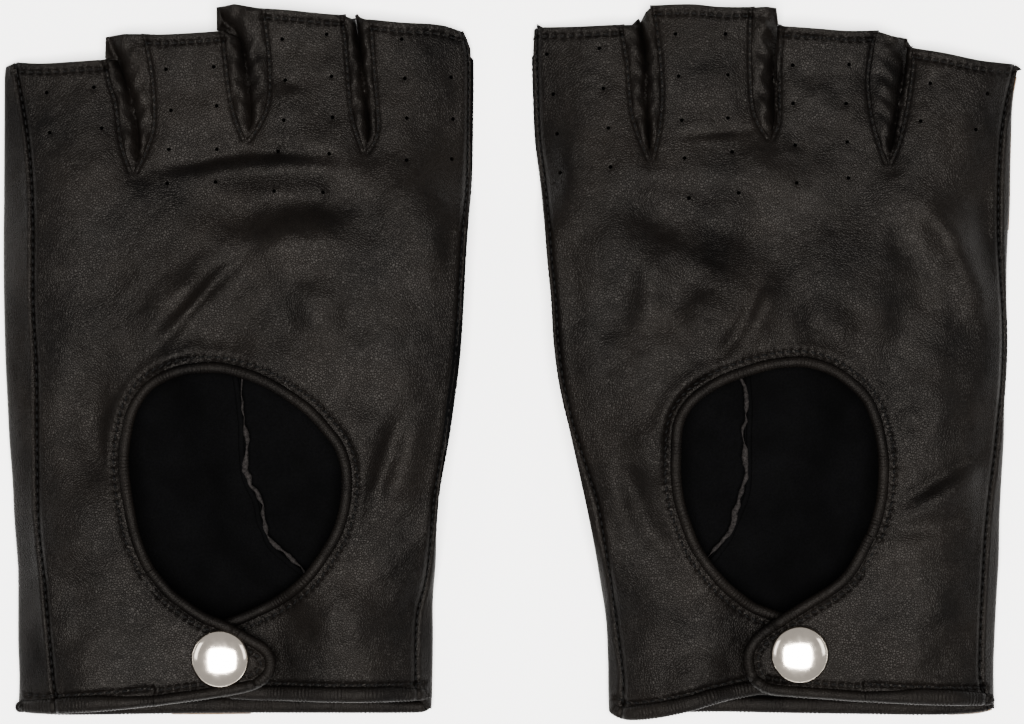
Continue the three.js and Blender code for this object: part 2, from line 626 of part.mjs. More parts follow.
// ---- the pair ----
const pair = new THREE.Group();
const left = makeGlove("left");
const right = makeGlove("right");
right.scale.x = -1;
pair.add(left, right);
const leftBox = new THREE.Box3().setFromObject(left);
const rightBox = new THREE.Box3().setFromObject(right);
left.position.x = -PAIR_GAP / 2 - leftBox.max.x;
right.position.x = PAIR_GAP / 2 - rightBox.min.x;
const whole = new THREE.Box3().setFromObject(pair);
const centre = whole.getCenter(new THREE.Vector3());
for (const glove of [left, right]) {
  glove.position.x -= centre.x;
  glove.position.y -= centre.y;
  glove.position.z -= whole.min.z;
}

export default pair;
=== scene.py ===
import math
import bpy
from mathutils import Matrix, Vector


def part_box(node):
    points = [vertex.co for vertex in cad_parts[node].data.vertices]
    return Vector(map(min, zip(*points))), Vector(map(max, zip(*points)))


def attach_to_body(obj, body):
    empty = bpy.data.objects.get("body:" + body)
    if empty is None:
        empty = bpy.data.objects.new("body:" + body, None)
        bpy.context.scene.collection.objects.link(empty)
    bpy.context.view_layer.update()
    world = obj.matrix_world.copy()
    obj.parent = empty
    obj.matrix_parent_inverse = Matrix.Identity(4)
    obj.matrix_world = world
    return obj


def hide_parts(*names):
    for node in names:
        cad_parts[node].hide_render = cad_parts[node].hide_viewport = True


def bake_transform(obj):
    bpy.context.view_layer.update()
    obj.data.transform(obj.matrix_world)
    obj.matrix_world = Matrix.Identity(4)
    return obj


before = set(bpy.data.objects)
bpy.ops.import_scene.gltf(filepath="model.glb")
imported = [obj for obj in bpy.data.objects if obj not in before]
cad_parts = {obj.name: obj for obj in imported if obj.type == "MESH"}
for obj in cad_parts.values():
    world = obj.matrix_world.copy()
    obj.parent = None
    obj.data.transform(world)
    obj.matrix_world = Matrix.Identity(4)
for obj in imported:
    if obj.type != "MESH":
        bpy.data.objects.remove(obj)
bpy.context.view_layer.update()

from types import SimpleNamespace

import bpy
import numpy as np
from mathutils import Vector
from mathutils.geometry import delaunay_2d_cdt

MM = 0.001

# ---------------------------------------------------------------------------------------------
# Plans of the two gloves, in millimetres. u grows towards the thumb side, v towards the fingers,
# and (0, 0) is on the wrist line below the press stud. The right glove is drawn the same way round
# and mirrored when it is placed. Paths named "little" and "thumb" run from the wrist up.
# ---------------------------------------------------------------------------------------------
LEFT = dict(
    little=[(-53, -0.5), (-52.7, 8.8), (-53, 19.1), (-53, 34.7), (-53.2, 39.8),
         (-54, 50.2), (-54.5, 60.5), (-55.3, 70.9), (-55.8, 81.2), (-56.3, 91.5),
         (-56.7, 107.1), (-56.8, 122.6), (-56.7, 132.9), (-56.6, 153.6), (-56.5, 165),
         (-56.1, 167.6)],
    thumb=[(54.1, -0.5), (54.4, 6.2), (54.6, 19.1), (54.6, 29.5), (55.4, 39.8), (55.7, 50.2),
         (56.7, 60.5), (58, 70.9), (59.3, 81.2), (60.6, 91.5), (61.6, 101.9), (62.4, 112.2),
         (63.1, 122.6), (64.2, 132.9), (64.4, 145.8), (64.4, 169.1), (63.9, 173.3), (62.4, 176.9)],
    little_seam=[(-42.4, 2.1), (-42.6, 5.2), (-43.4, 9.6), (-45.5, 33.4), (-46.8, 45), (-47.5, 57.2),
         (-47.8, 88.7), (-48.6, 105.5), (-48.6, 129.3), (-49.9, 147.4), (-53, 165.2),
         (-53.5, 168.6)],
    thumb_seam=[(50.2, 4.1), (50.2, 6.2), (50.2, 9.6), (50.2, 19.1), (50.7, 26.4), (52.8, 34.7),
         (54.1, 45), (55.1, 57.2), (57.5, 70.9), (59, 81.2), (60.3, 91.5), (61.1, 101.9),
         (61.9, 117.4), (62.6, 127.7), (63.4, 138.1), (63.7, 153.6), (63.7, 170.2), (62.1, 176.6)],
    hems=[[(-53.5, 168.6), (-47, 168.2), (-39.3, 168.5), (-29.7, 169.1)], [(-20.4, 175.8),
        (-16, 175.5), (-8.2, 175.8), (0.8, 176.4)],
          [(10.4, 182.3), (17.6, 181.8), (25.4, 181), (31.6, 180.6)], [(38.1, 179.5), (46.1, 178.7),
              (56.4, 178.2), (62.1, 176.6)]],
    lips=[([(-29.7, 169.1), (-28.4, 162.9), (-26.8, 157.7), (-25.3, 147.4), (-23, 140.2)],
        [(-22.2, 140.2), (-19.3, 146.6), (-17.8, 153.1), (-18.3, 164.7), (-20.4, 175.8)]),
          ([(0.8, 176.4), (1.6, 169.1), (2.4, 162.4), (3.9, 154.6), (6.3, 148.4)], [(6.8, 148.4),
              (9.6, 152.3), (11.9, 158.5), (11.9, 168.9), (10.4, 182.3)]),
          ([(31.6, 180.6), (32.4, 174.3), (32.9, 168.9), (34.2, 154.6), (37, 145.3)], [(37.5, 145.3),
              (39.4, 148.4), (40.1, 153.1), (39.1, 165), (38.1, 179.5)])],
    valleys=[[(-22.4, 140.2), (-21.4, 145.8), (-22.2, 153.6), (-24, 160.8), (-26.8, 168.6),
         (-29.7, 175.3)], [(6.5, 148.4), (7.6, 153.6), (7.3, 159.8), (6.3, 166.5), (4.7, 174.3),
             (-0.2, 179.5)],
             [(37.3, 145.3), (38.1, 151), (37.3, 158.8), (36, 169.1), (34.7, 179), (34.4, 180.2)]],
    gap_ends=[[(-29.7, 169.1), (-30.2, 169.6), (-30.1, 175.1), (-25, 175.8), (-20.4, 175.8)],
        [(0.8, 176.4), (-0.5, 176.6), (-0.6, 182.6), (3.4, 183.5), (10.4, 182.3)],
              [(31.6, 180.6), (33.2, 180), (35.2, 179.7), (36.8, 179.7), (38.1, 179.5)]],
    holes=[(-45.2, 160.6), (-32.8, 161.9), (-44.2, 150.2), (-30.7, 151.3), (-14.2, 166.5),
         (-1.8, 167.1), (-12.9, 155.9), (-1, 157), (-13.4, 145.8), (-1, 145.8),
         (-13.7, 137.1), (-1.2, 137.3), (15.8, 174.3), (27.2, 175.6), (16.6, 163.7),
         (28.5, 164.7), (16.3, 153.3), (28.8, 154.1), (14.8, 145.3), (28, 144.6),
         (13.8, 135), (26.4, 134.7), (46.6, 174.3), (59.8, 175.1), (47.4, 164.2),
         (59.3, 164.7), (47.9, 153.9), (59.8, 153.9), (47.9, 143), (59.5, 143.5)],
    keyhole=[(-9.3, 30.3), (-12.4, 32.8), (-16.8, 38), (-20.1, 45.3), (-21.9, 53.3),
         (-23.5, 64.6), (-22.7, 72.9), (-20.9, 79.1), (-16.8, 84.3), (-9.8, 87.4), (-1.8, 88.2),
         (4.7, 87.1), (11.4, 84.6), (17.1, 81.2), (22, 77.6), (25.9, 73.4), (29.3, 69),
         (30.8, 64.9), (31.3, 60.5), (30.8, 54.6), (29.3, 48.9), (26.9, 44.2), (22, 37.2),
         (17.6, 33.1), (13, 30), (7.3, 27.2), (2.6, 25.3), (-2, 24)],
    tab=[(-16.8, 38), (-12.4, 32.8), (-9.3, 30.3), (-3.8, 26.6), (1.6, 24.3), (7.3, 21.2),
         (11.9, 18.4), (13.8, 15.8), (14.3, 12.9), (13, 9.6), (9.6, 7), (4.7, 5.7),
         (0.1, 4.9), (-6.7, 3.9), (-12.9, 3.1), (-16.8, 2.6)],
    fold=[(-16.8, 38), (-16.8, 2.6)],
    under_end=[(-2, 24), (-5.6, 22), (-8, 18.6), (-8.5, 14.7), (-7.7, 10.1), (-5.1, 6.7),
         (-2, 4.9), (2.1, 4.1)],
    wrist_little=[(-16.8, 2.6), (-26.3, 1.6), (-36.7, 0.8), (-44.4, 0.3), (-51.2, 0.4), (-53, 1.6)],
    wrist_thumb=[(2.1, 4.1), (10.4, 3.7), (20.2, 3.6), (33.2, 3.5), (46.1, 3.5), (52.3, 3.6),
        (54.1, 4.4)],
    palm_end=[(-53, 0.3), (-41.8, -0.5), (-21.2, -0.3), (-0.5, 0), (20.2, 0), (46.1, 0),
         (52.3, 0.3), (54.1, 1.6)],
    thumb_seam_inside=[(4.2, 90.5), (5.2, 84.8), (5.7, 80.4), (6.3, 74.5), (6.3, 70.9), (6.5, 67),
         (7, 62.1), (8.3, 58.7), (9.6, 56.1), (10.4, 53.3), (10.9, 50.2), (12.2, 47.3),
         (13.5, 44.2), (17.1, 40.9), (21, 37.8), (26.7, 33.4)],
    rims=[([(-52.7, 0.8), (-50.6, 0.1), (-47, -0.2), (-41.3, -0.2)], 0.5), ([(-13.4, -0.3),
        (-3.1, -0.3), (7.3, -0.2)], 0.5)],
    strokes=[
        # path, half width, height: creases and soft folds of the back
        ([(-24.8, 138.1), (-16, 140.4), (-5.6, 142.5), (4.7, 144.3), (15.1, 144.8),
         (28, 143.8), (38.8, 141.7)], 1.5, -1.15),
        ([(-21.2, 135.5), (-10.8, 138.1), (2.1, 139.9), (17.6, 140.2), (31.9, 139.1),
         (42.2, 136.5)], 3.2, 1.25),
        ([(-6.7, 122.6), (0.8, 128.5), (10.4, 131.6), (21.5, 132.1), (33.2, 129.8),
            (44, 124.6)], 5.5, -1.5),
        ([(3.7, 115.3), (10.4, 120.5), (20.2, 123.1), (30, 123.6), (37.8, 120)], 4.5, 1.4),
        ([(-20.4, 90.5), (-14.4, 97.2), (-8.2, 104), (-2.5, 110.2), (2.1, 114.6),
            (9.4, 120.5)], 1.3, -1.2),
        ([(-23.2, 93.6), (-17, 100.3), (-10.8, 107.1), (-4.6, 113.3), (1.1, 118.4)], 3, 1.3),
        ([(14, 111.7), (15.6, 105.5), (18.2, 97.8), (20.2, 91)], 3.2, -0.6),
        ([(24.9, 113.3), (24.9, 105.5), (23.8, 96.7)], 3.6, 0.6),
        ([(30.6, 109.1), (33.7, 101.9), (37.3, 93.6)], 3.4, -0.7),
        ([(-28.9, 58.4), (-29.2, 63.1), (-28.4, 70.9), (-26.1, 78.1), (-22.2, 84.3),
         (-16, 90.3), (-6.7, 94.1), (2.6, 94.1)], 1.5, 0.9),
        ([(-26.3, 59), (-26.6, 64.6), (-25.8, 71.4), (-23.5, 78.1), (-19.1, 84.3),
         (-12.9, 89), (-4.1, 91.3)], 1.2, -1),
        ([(-8.2, 95.9), (1.1, 97.5), (10.4, 93.6)], 3.2, -1),
        ([(-29.9, 95.4), (-32.5, 83.3), (-33.3, 72.9), (-31.8, 61.8), (-28.1, 51.5)], 4.6, -1.9),
        ([(-41.3, 63.1), (-35.1, 47.6), (-31.5, 33.4)], 7, 0.9),
        ([(48.7, 84.3), (45.6, 74), (41.9, 62.1), (38.8, 52.2), (36.3, 45)], 1.9, -1.3),
        ([(52.3, 81.2), (49.2, 69.3), (46.6, 57.4), (45, 47.6)], 4, 1),
        ([(40.9, 81.2), (38.3, 70.9), (35.2, 63.1)], 4, 0.7),
        ([(20.2, 88.4), (28, 83.3), (33.7, 75), (36.8, 65.7), (36.8, 55.3), (33.2, 43.7)], 2, 0.55),
        ([(-41.8, 39.8), (-35.6, 26.9), (-28.9, 16.6)], 5, -0.7),
        ([(20.2, 19.1), (30.6, 24.8), (40.9, 28.4)], 5, 0.6),
        ([(-41.8, 120), (-34.6, 107.1), (-33.6, 96.7)], 6, -0.5),
        ([(16.3, 164), (17.1, 151)], 5, 0.5),
        ([(17.1, 164), (20.2, 160.8)], 0.9, -0.35),
        ([(-5.6, 161.4), (-6.7, 148.4)], 5, 0.4),
        ([(53.8, 169.1), (54.4, 151)], 6, 0.4),
        ([(43, 145.8), (51.3, 130.3), (56.4, 107.1)], 7, 0.7),
    ],
)
RIGHT = dict(
    little=[(-51.2, -0.8), (-51, 6.2), (-51, 14), (-51.7, 29.5), (-52.3, 39.8),
         (-52.5, 50.2), (-53, 60.5), (-53.6, 70.9), (-53.8, 81.2), (-54.3, 91.5),
         (-54.3, 112.2), (-54.6, 122.6), (-55.1, 132.9), (-55.4, 148.4), (-56.1, 161.4),
         (-57.4, 167.6)],
    thumb=[(48.8, -1), (49, 6.2), (49.1, 14), (49.6, 24.3), (51.2, 34.7), (53, 45),
         (55.1, 55.3), (57.4, 65.7), (59.7, 76), (62, 86.4), (63.3, 96.7), (63.8, 107.1),
         (64.9, 117.4), (65.7, 127.7), (66.7, 138.1), (67.7, 148.4), (68.2, 158.8),
         (68.5, 169.1), (68.2, 177.1)],
    little_seam=[(-48.4, 3.1), (-48.1, 5.2), (-47.1, 13.7), (-48.6, 46.8), (-51.2, 68.5), (-53, 86.4),
         (-53.3, 101.6), (-52, 126.5), (-52.8, 149.7), (-55.6, 164.5), (-56.4, 168.1)],
    thumb_seam=[(45.2, 0.3), (45.2, 5.2), (45.2, 9.6), (46.3, 19.1), (47.8, 30.3), (50.1, 45),
         (52, 55.1), (55.3, 65.7), (58.4, 76), (60.7, 86.4), (62, 96.7), (62.6, 107.1),
         (63.6, 117.4), (64.4, 127.7), (65.4, 138.1), (66.7, 148.4), (67.2, 158.8),
         (67.5, 169.1), (67.5, 177.7)],
    hems=[[(-56.4, 168.1), (-47.1, 168.9), (-38, 170.7), (-29.5, 172.2)], [(-20.2, 176.6),
        (-13.5, 176.4), (-5.7, 176.9), (4.6, 177.7)],
          [(11.9, 182.6), (20.1, 182.6), (27.9, 183.3), (37.7, 183.1)], [(45.5, 178.2), (51.2, 177.9),
              (58.9, 177.7), (67.5, 177.7)]],
    lips=[([(-29.5, 172.2), (-29, 165.5), (-27.4, 155.7), (-25.1, 146.9), (-23.3, 142.5)],
        [(-22.8, 142.5), (-21.2, 146.9), (-19.4, 153.6), (-18.4, 164), (-20.2, 176.6)]),
          ([(4.6, 177.7), (5.4, 168.1), (5.4, 158.8), (5.7, 152.6), (7.2, 148.7)], [(7.7, 148.7),
              (10.3, 153.1), (11.6, 158), (12.1, 168.1), (11.9, 182.6)]),
          ([(37.7, 183.1), (36.2, 169.6), (35.7, 159.8), (36.4, 151), (38, 143.5)], [(38.5, 143.5),
              (41.3, 150.5), (42.9, 157.2), (43.7, 168.1), (45.5, 178.2)])],
    valleys=[[(-23, 142.5), (-24.6, 149.7), (-26.1, 157.7), (-27.4, 165), (-28.2, 172.2),
         (-28.2, 174.3)], [(7.5, 148.7), (6.4, 153.6), (6.4, 161.4), (5.9, 169.1), (5.4, 177.7),
             (5.4, 181)],
             [(38.2, 143.5), (38.8, 151), (39.3, 158.8), (39.5, 169.1), (40.6, 177.4), (40.8, 179)]],
    gap_ends=[[(-29.5, 172.2), (-28.7, 172.7), (-28.5, 174.8), (-24.3, 175.3), (-20.2, 176.6)],
        [(4.6, 177.7), (5.1, 178.2), (5.7, 182.3), (8.2, 182.8), (11.9, 182.6)],
              [(37.7, 183.1), (39.5, 181.5), (40.8, 178.4), (42.9, 178.2), (45.5, 178.2)]],
    holes=[(64.9, 170.7), (51.4, 172), (63.3, 160.3), (50.4, 161.6), (62.3, 150),
         (49.1, 151.3), (61.5, 139.9), (48.6, 141.2), (31.8, 175.6), (18.9, 175.6),
         (31, 164.7), (18.3, 165), (30.2, 153.3), (18.3, 153.9), (29.5, 143.5),
         (17.3, 145.1), (28.4, 133.2), (15.7, 134.5), (1.5, 167.6), (-13, 167.8),
         (1.5, 157.7), (-12.2, 157.7), (1, 146.9), (-12.4, 147.7), (0.7, 137.1),
         (-12.7, 138.4), (-33.9, 162.9), (-48.9, 160.3), (-31.3, 153.1), (-45.8, 151)],
    keyhole=[(-7.8, 33.9), (-12.2, 38.3), (-15.3, 42.9), (-17.6, 48.4), (-19.4, 54.3),
         (-20.2, 60.5), (-20.2, 66.7), (-19.4, 71.9), (-18.1, 76.5), (-16.1, 80.7),
         (-13, 84), (-8.8, 87.1), (-4.2, 89), (0.5, 89.7), (7.2, 89), (14.2, 87.1),
         (20.1, 84.8), (25.6, 81.2), (28.4, 78.1), (30, 74.5), (30.5, 68.5), (30.5, 62.1),
         (29.7, 55.9), (27.9, 49.9), (25.6, 44.2), (22, 38.8), (17.8, 34.1), (12.1, 29.5),
         (8.2, 27.7), (3.1, 25.9)],
    tab=[(-16.8, 46.8), (-12.2, 38.3), (-7.8, 33.9), (0, 29), (5.4, 25.6), (10.6, 22),
         (13.4, 18.6), (14.5, 15.3), (13.9, 10.9), (11.9, 7.8), (8.2, 5.7), (1.5, 4.9),
         (-5.7, 4.4), (-12.4, 3.9), (-16.8, 3.6)],
    fold=[(-16.8, 46.8), (-16.8, 3.6)],
    under_end=[(3.1, 25.9), (-1.3, 23.8), (-4.9, 20.7), (-6.5, 16.6), (-6.2, 11.9), (-4.2, 8),
         (-0.5, 5.7), (4.1, 4.7)],
    wrist_little=[(-16.8, 3.6), (-26.4, 3.1), (-36.7, 2.6), (-45.8, 2.3), (-49.7, 2.3), (-51.2, 3.4)],
    wrist_thumb=[(4.1, 4.7), (9.3, 5.2), (15, 4.4), (21.4, 3.1), (27.9, 1.3), (34.6, -0.3),
         (40.8, -1.3), (45.5, -1.3), (48.8, 0.3)],
    palm_end=[(-51.2, 1.6), (-48.4, 0.3), (-36.7, -0.5), (-16.1, -0.3), (4.6, 0), (20.1, 0.3),
         (35.7, 0), (46, -0.5), (48.8, 0.5)],
    thumb_seam_inside=[(14.5, 92.1), (14.2, 86.6), (13.9, 82.5), (13.7, 78.9), (13.9, 73.4),
        (13.9, 68.5),
         (13.9, 63.6), (14.2, 58.4), (15, 55.3), (16.3, 52.2), (17.6, 49.1), (18.9, 46),
         (20.9, 43.2), (23, 40.6), (27.4, 35.9)],
    rims=[([(-56.9, 165), (-56.1, 160.8), (-55.6, 155.7), (-55.4, 148.4), (-55.2, 140.7),
         (-55.1, 132.9), (-54.8, 125.2)], 1.6),
          ([(-50.7, 0.8), (-46.6, -0.1), (-39.3, -0.5)], 0.5)],
    strokes=[
        ([(33.6, 149), (27.4, 149.7), (21.4, 150.2), (15, 150.8), (8.8, 151.3)], 0.8, -0.5),
        ([(51.2, 137.6), (40.8, 139.1), (27.9, 137.1), (15, 137.6), (-0.5, 135.5),
         (-16.1, 136.5)], 4.5, 0.9),
        ([(56.3, 126.2), (44.7, 130.9), (33.6, 130.3), (22.2, 127.2), (11.9, 121.5),
            (2, 116.9)], 5.5, -1.5),
        ([(58.4, 105.5), (54.3, 113.8), (48.1, 120), (40.8, 123.6), (34.6, 122.6)], 4.6, 1),
        ([(34.6, 126.2), (37.2, 117.9), (39.3, 108.1), (40.8, 97.2)], 3, 1.2),
        ([(42.9, 115.3), (46.5, 105.5), (49.6, 93.6)], 3.6, -0.8),
        ([(25.3, 116.9), (29.5, 107.6), (33.6, 99.3), (36.7, 91.5)], 3.4, -1),
        ([(23.8, 110.2), (26.4, 102.9), (28.4, 96.7)], 3.6, 0.8),
        ([(8.8, 114.8), (11.9, 107.1), (15, 100.3), (19.6, 93.6), (25.3, 87.9)], 1.4, -1.2),
        ([(3.1, 111.7), (7.2, 108.1), (11.9, 101.4), (16, 95.2)], 2.8, 1.3),
        ([(4.6, 106.5), (-2.1, 104), (-9.9, 98.3), (-16.6, 91)], 4.2, -1.4),
        ([(-0.5, 112.7), (-9.9, 109.1), (-19.2, 101.9), (-25.4, 92.6)], 4.6, 0.9),
        ([(34.6, 63.1), (35.9, 70.9), (34.6, 79.1), (30, 85.3), (23.2, 89.5), (14.5, 92.6)], 1.5, 0.9),
        ([(32.6, 63.1), (33.3, 69.8), (32, 77.1), (28.2, 82.8), (21.7, 87.1), (13.9, 90)], 1.1, -0.9),
        ([(48.1, 75), (46, 66.2), (42.4, 56.4), (38.2, 47.6), (32.6, 40.9), (25.8, 34.7)], 2.3, -1.3),
        ([(52.7, 73.4), (49.6, 63.1), (45.5, 52.8), (40.8, 43.4)], 3.4, 0.7),
        ([(40.8, 78.6), (38.2, 67.8), (34.6, 56.4)], 3.4, 0.8),
        ([(-50.7, 69.3), (-43, 64.6), (-34.2, 59.5), (-27.4, 55.3), (-22.3, 50.2)], 1.5, -1),
        ([(-49.7, 65.2), (-41.4, 60.5), (-33.1, 54.8), (-26.4, 50.2)], 2.6, 1),
        ([(-21.2, 45), (-28, 47.6), (-36.7, 49.1), (-46.6, 50.2)], 1.6, -0.6),
        ([(-24.3, 78.6), (-30, 76.5), (-35.2, 73.4)], 2.4, -0.9),
        ([(-26.4, 86.4), (-34.2, 81.2), (-41.9, 76)], 5, 0.5),
        ([(-23.8, 139.1), (-32.6, 129.3), (-40.9, 119.5), (-47.1, 106), (-49.7, 91.5)], 3.2, 1.3),
        ([(-20.2, 131.4), (-28.5, 121.5), (-35.2, 111.2), (-39.3, 99.3)], 5, -1),
        ([(-41.9, 138.1), (-49.7, 125.2), (-52.3, 112.2)], 4, -0.7),
        ([(-34.2, 39.8), (-36.7, 29.5), (-35.2, 19.1)], 8, 0.7),
        ([(61.5, 156.2), (60, 140.7), (57.9, 122.6)], 5, 0.5),
        ([(25.3, 169.1), (24.3, 156.2)], 5, 0.4),
        ([(-5.7, 166.5), (-5.7, 151)], 5, 0.4),
        ([(33.1, 29.5), (25.3, 19.1), (22.2, 11.4)], 6, -0.5),
    ],
)
PLANS = {"left": LEFT, "right": RIGHT}
SIGN = {"left": 1, "right": -1}
STUD_V = {"left": 14.7, "right": 15.8}

LEATHER = 1.0
STITCH = 2.1  # from one stitch to the next
STITCH_LENGTH, STITCH_RADIUS = 1.5, 0.24
HEM_ROW, LIP_ROW, KEYHOLE_ROW = 2.3, 0.5, 4.1  # rows of stitches, from the edge beside them
SEAM_GAP = 0.12  # from a side seam's middle to the leather on each side of it
SLIT_HALF = 0.05  # half the width of the cut between two fingers
GAP_CUTS = (0, 0, 2)  # which point of a finger gap's end the slit starts from
PALM_SHORTER = (0, -0.6)
HOLE_RADIUS = 0.5
CAP_RADIUS = 7.5
TAB_BEND = 8.5  # width over which the tab bends
# Waves all over the back: their length, their height and how many of each.
WAVES = ((62, 0.50, 3), (34, 0.20, 4), (17, 0.10, 5), (7.5, 0.035, 6), (3.6, 0.014, 6))
THUMB_SWING = (31.0, 65.0)  # the point the thumb swings about
THUMB_HOLE = np.array([(42, 38), (46, 56), (46, 80), (38, 97), (20, 100)])  # the opening, beyond its seam
THUMB_LEAN = 105  # degrees from the u axis
CUP_START, CUP_ARC = 151, 193  # the thumb cup's wall in degrees, open where the thumb swings
EDGE = 2.4  # height of the fold along a glove's sides, above its underside
TAB_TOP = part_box("left_snap_tab")[1].z / MM  # the back's height at the press stud
ORIGIN = {}
for _side in PLANS:
    _low, _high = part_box(_side + "_snap_cap")
    ORIGIN[_side] = ((_low.x + _high.x) / 2 / MM, (_low.y + _high.y) / 2 / MM - STUD_V[_side])


# ------------------------------------------------------------------------------- plan geometry
def spline(points, step=0.8, closed=False):
    """A smooth path through the points, sampled about every step."""
    p = np.asarray(points, float)
    if closed:
        p = np.vstack([p[-1], p, p[0], p[1]])
    else:
        p = np.vstack([2 * p[0] - p[1], p, 2 * p[-1] - p[-2]])
    out = []
    for i in range(1, len(p) - 2):
        a, b, c, d = p[i - 1 : i + 3]
        n = max(2, int(np.linalg.norm(c - b) / step))
        t = (np.arange(n) / n)[:, None]
        out.append(0.5 * (2 * b + (c - a) * t + (2 * a - 5 * b + 4 * c - d) * t**2
                          + (3 * b - a - 3 * c + d) * t**3))
    if not closed:
        out.append(p[-2:-1])
    return np.vstack(out)


def lengths(path):
    return np.concatenate([[0], np.cumsum(np.linalg.norm(np.diff(path, axis=0), axis=1))])


def resample(path, step):
    s = lengths(path)
    at = np.linspace(0, s[-1], max(2, int(round(s[-1] / step)) + 1))
    return np.stack([np.interp(at, s, path[:, k]) for k in range(path.shape[1])], axis=1)


def offset(path, distance):
    """The path moved sideways, to its left for a positive distance."""
    t = np.gradient(path[:, :2], axis=0)
    t /= np.linalg.norm(t, axis=1)[:, None] + 1e-12
    return path[:, :2] + distance * np.stack([-t[:, 1], t[:, 0]], axis=1)


def near(points, path):
    """Distance from each point to the path, and how far along the path that is."""
    best = np.full(len(points), 1e9)
    where = np.zeros(len(points))
    s = lengths(path)
    low, high = path.min(0) - 30, path.max(0) + 30
    rows = np.flatnonzero(((points >= low) & (points <= high)).all(1))
    p = points[rows]
    b_, w_ = best[rows], where[rows]
    for i in range(len(path) - 1):
        a, d = path[i], path[i + 1] - path[i]
        t = np.clip(((p - a) @ d) / max(d @ d, 1e-12), 0, 1)
        r = np.hypot(p[:, 0] - a[0] - t * d[0], p[:, 1] - a[1] - t * d[1])
        closer = r < b_
        b_[closer] = r[closer]
        w_[closer] = s[i] + t[closer] * (s[i + 1] - s[i])
    best[rows], where[rows] = b_, w_
    return best, where


def stitch_pitch(path, pitch=STITCH):
    """The pitch nearest to a usual stitch that divides the path evenly."""
    total = lengths(path)[-1]
    return total / max(1, int(total / pitch))


def thinned(loop, least):
    """A loop without the points that are closer than this to the one before."""
    return loop[np.concatenate([[True], np.linalg.norm(np.diff(loop, axis=0), axis=1) > least])]


def signed_area(loop):
    x, y = loop.T
    return np.sum(x * np.roll(y, -1) - np.roll(x, -1) * y) / 2


def shrunk(loop, by):
    """A closed outline moved inwards a little."""
    t = np.roll(loop, -1, axis=0) - np.roll(loop, 1, axis=0)
    t /= np.linalg.norm(t, axis=1)[:, None] + 1e-9
    return loop + np.stack([-t[:, 1], t[:, 0]], axis=1) * np.sign(signed_area(loop)) * by


def inside(points, loop):
    odd = np.zeros(len(points), bool)
    x, y = points[:, 0], points[:, 1]
    for (x0, y0), (x1, y1) in zip(loop, np.roll(loop, -1, axis=0)):
        if y0 != y1:
            odd ^= ((y0 > y) != (y1 > y)) & (x < x0 + (y - y0) * (x1 - x0) / (y1 - y0))
    return odd


def smoothstep(x):
    x = np.clip(x, 0, 1)
    return x * x * (3 - 2 * x)


def fill(outline, holes=(), step=1.0, rings=()):
    """A closed outline filled with triangles: points (n, 2) and triangles (m, 3)."""
    loops = [np.asarray(outline), *[np.asarray(h) for h in holes]]
    points, edges = [], []
    for loop in loops:
        start = len(points)
        points += loop.tolist()
        edges += [(start + i, start + (i + 1) % len(loop)) for i in range(len(loop))]
    low, high = loops[0].min(0), loops[0].max(0)
    xs = np.arange(low[0], high[0], step)
    ys = np.arange(low[1], high[1], step * 0.87)
    grid = np.array([(x + (step / 2 if j % 2 else 0), y) for j, y in enumerate(ys) for x in xs])
    grid = grid[inside(grid, loops[0])]
    extra = [r for ring in rings for r in ring]
    if extra:
        extra = np.array(extra)
        extra = extra[inside(extra, loops[0])]
        grid = grid[cloud(grid, extra) > 0.6 * step]
        grid = np.vstack([grid, extra])
    for loop in loops:
        if len(grid):
            grid = grid[near(grid, np.vstack([loop, loop[:1]]))[0] > 0.3 * step]
    for hole in loops[1:]:
        grid = grid[~inside(grid, hole)]
    points += grid.tolist()
    made = delaunay_2d_cdt([Vector(p) for p in points], edges, [], 0, 1e-7, False)
    co = np.array([tuple(p) for p in made[0]])
    tri = np.array([f for f in made[2] if len(f) == 3])
    mid = co[tri].mean(1)
    keep = inside(mid, loops[0])
    for hole in loops[1:]:
        keep &= ~inside(mid, hole)
    tri = tri[keep]
    a, b, c = co[tri[:, 0]], co[tri[:, 1]], co[tri[:, 2]]
    turn = (b - a)[:, 0] * (c - a)[:, 1] - (b - a)[:, 1] * (c - a)[:, 0]
    tri[turn < 0] = tri[turn < 0][:, ::-1]
    tri = tri[np.abs(turn) > 1e-7]
    used, back = np.unique(tri, return_inverse=True)
    return co[used], back.reshape(-1, 3)


def cloud(points, others):
    """Distance from each point to the nearest of the others, up to a few millimetres."""
    cell = 3.0
    table = {}
    for q in others:
        table.setdefault((int(q[0] // cell), int(q[1] // cell)), []).append(q)
    out = np.full(len(points), 9.0)
    for i, p in enumerate(points):
        cx, cy = int(p[0] // cell), int(p[1] // cell)
        for k in ((cx + a, cy + b) for a in (-1, 0, 1) for b in (-1, 0, 1)):
            for q in table.get(k, ()):
                out[i] = min(out[i], math.hypot(p[0] - q[0], p[1] - q[1]))
    return out


# ------------------------------------------------------------------------------- mesh making
def to_frame(side, points):
    """Glove millimetres (u, v, z) to the shared frame's metres."""
    p = np.asarray(points, float)
    ox, oy = ORIGIN[side]
    return np.stack([ox + SIGN[side] * p[:, 0], oy + p[:, 1], p[:, 2]], axis=1) * MM


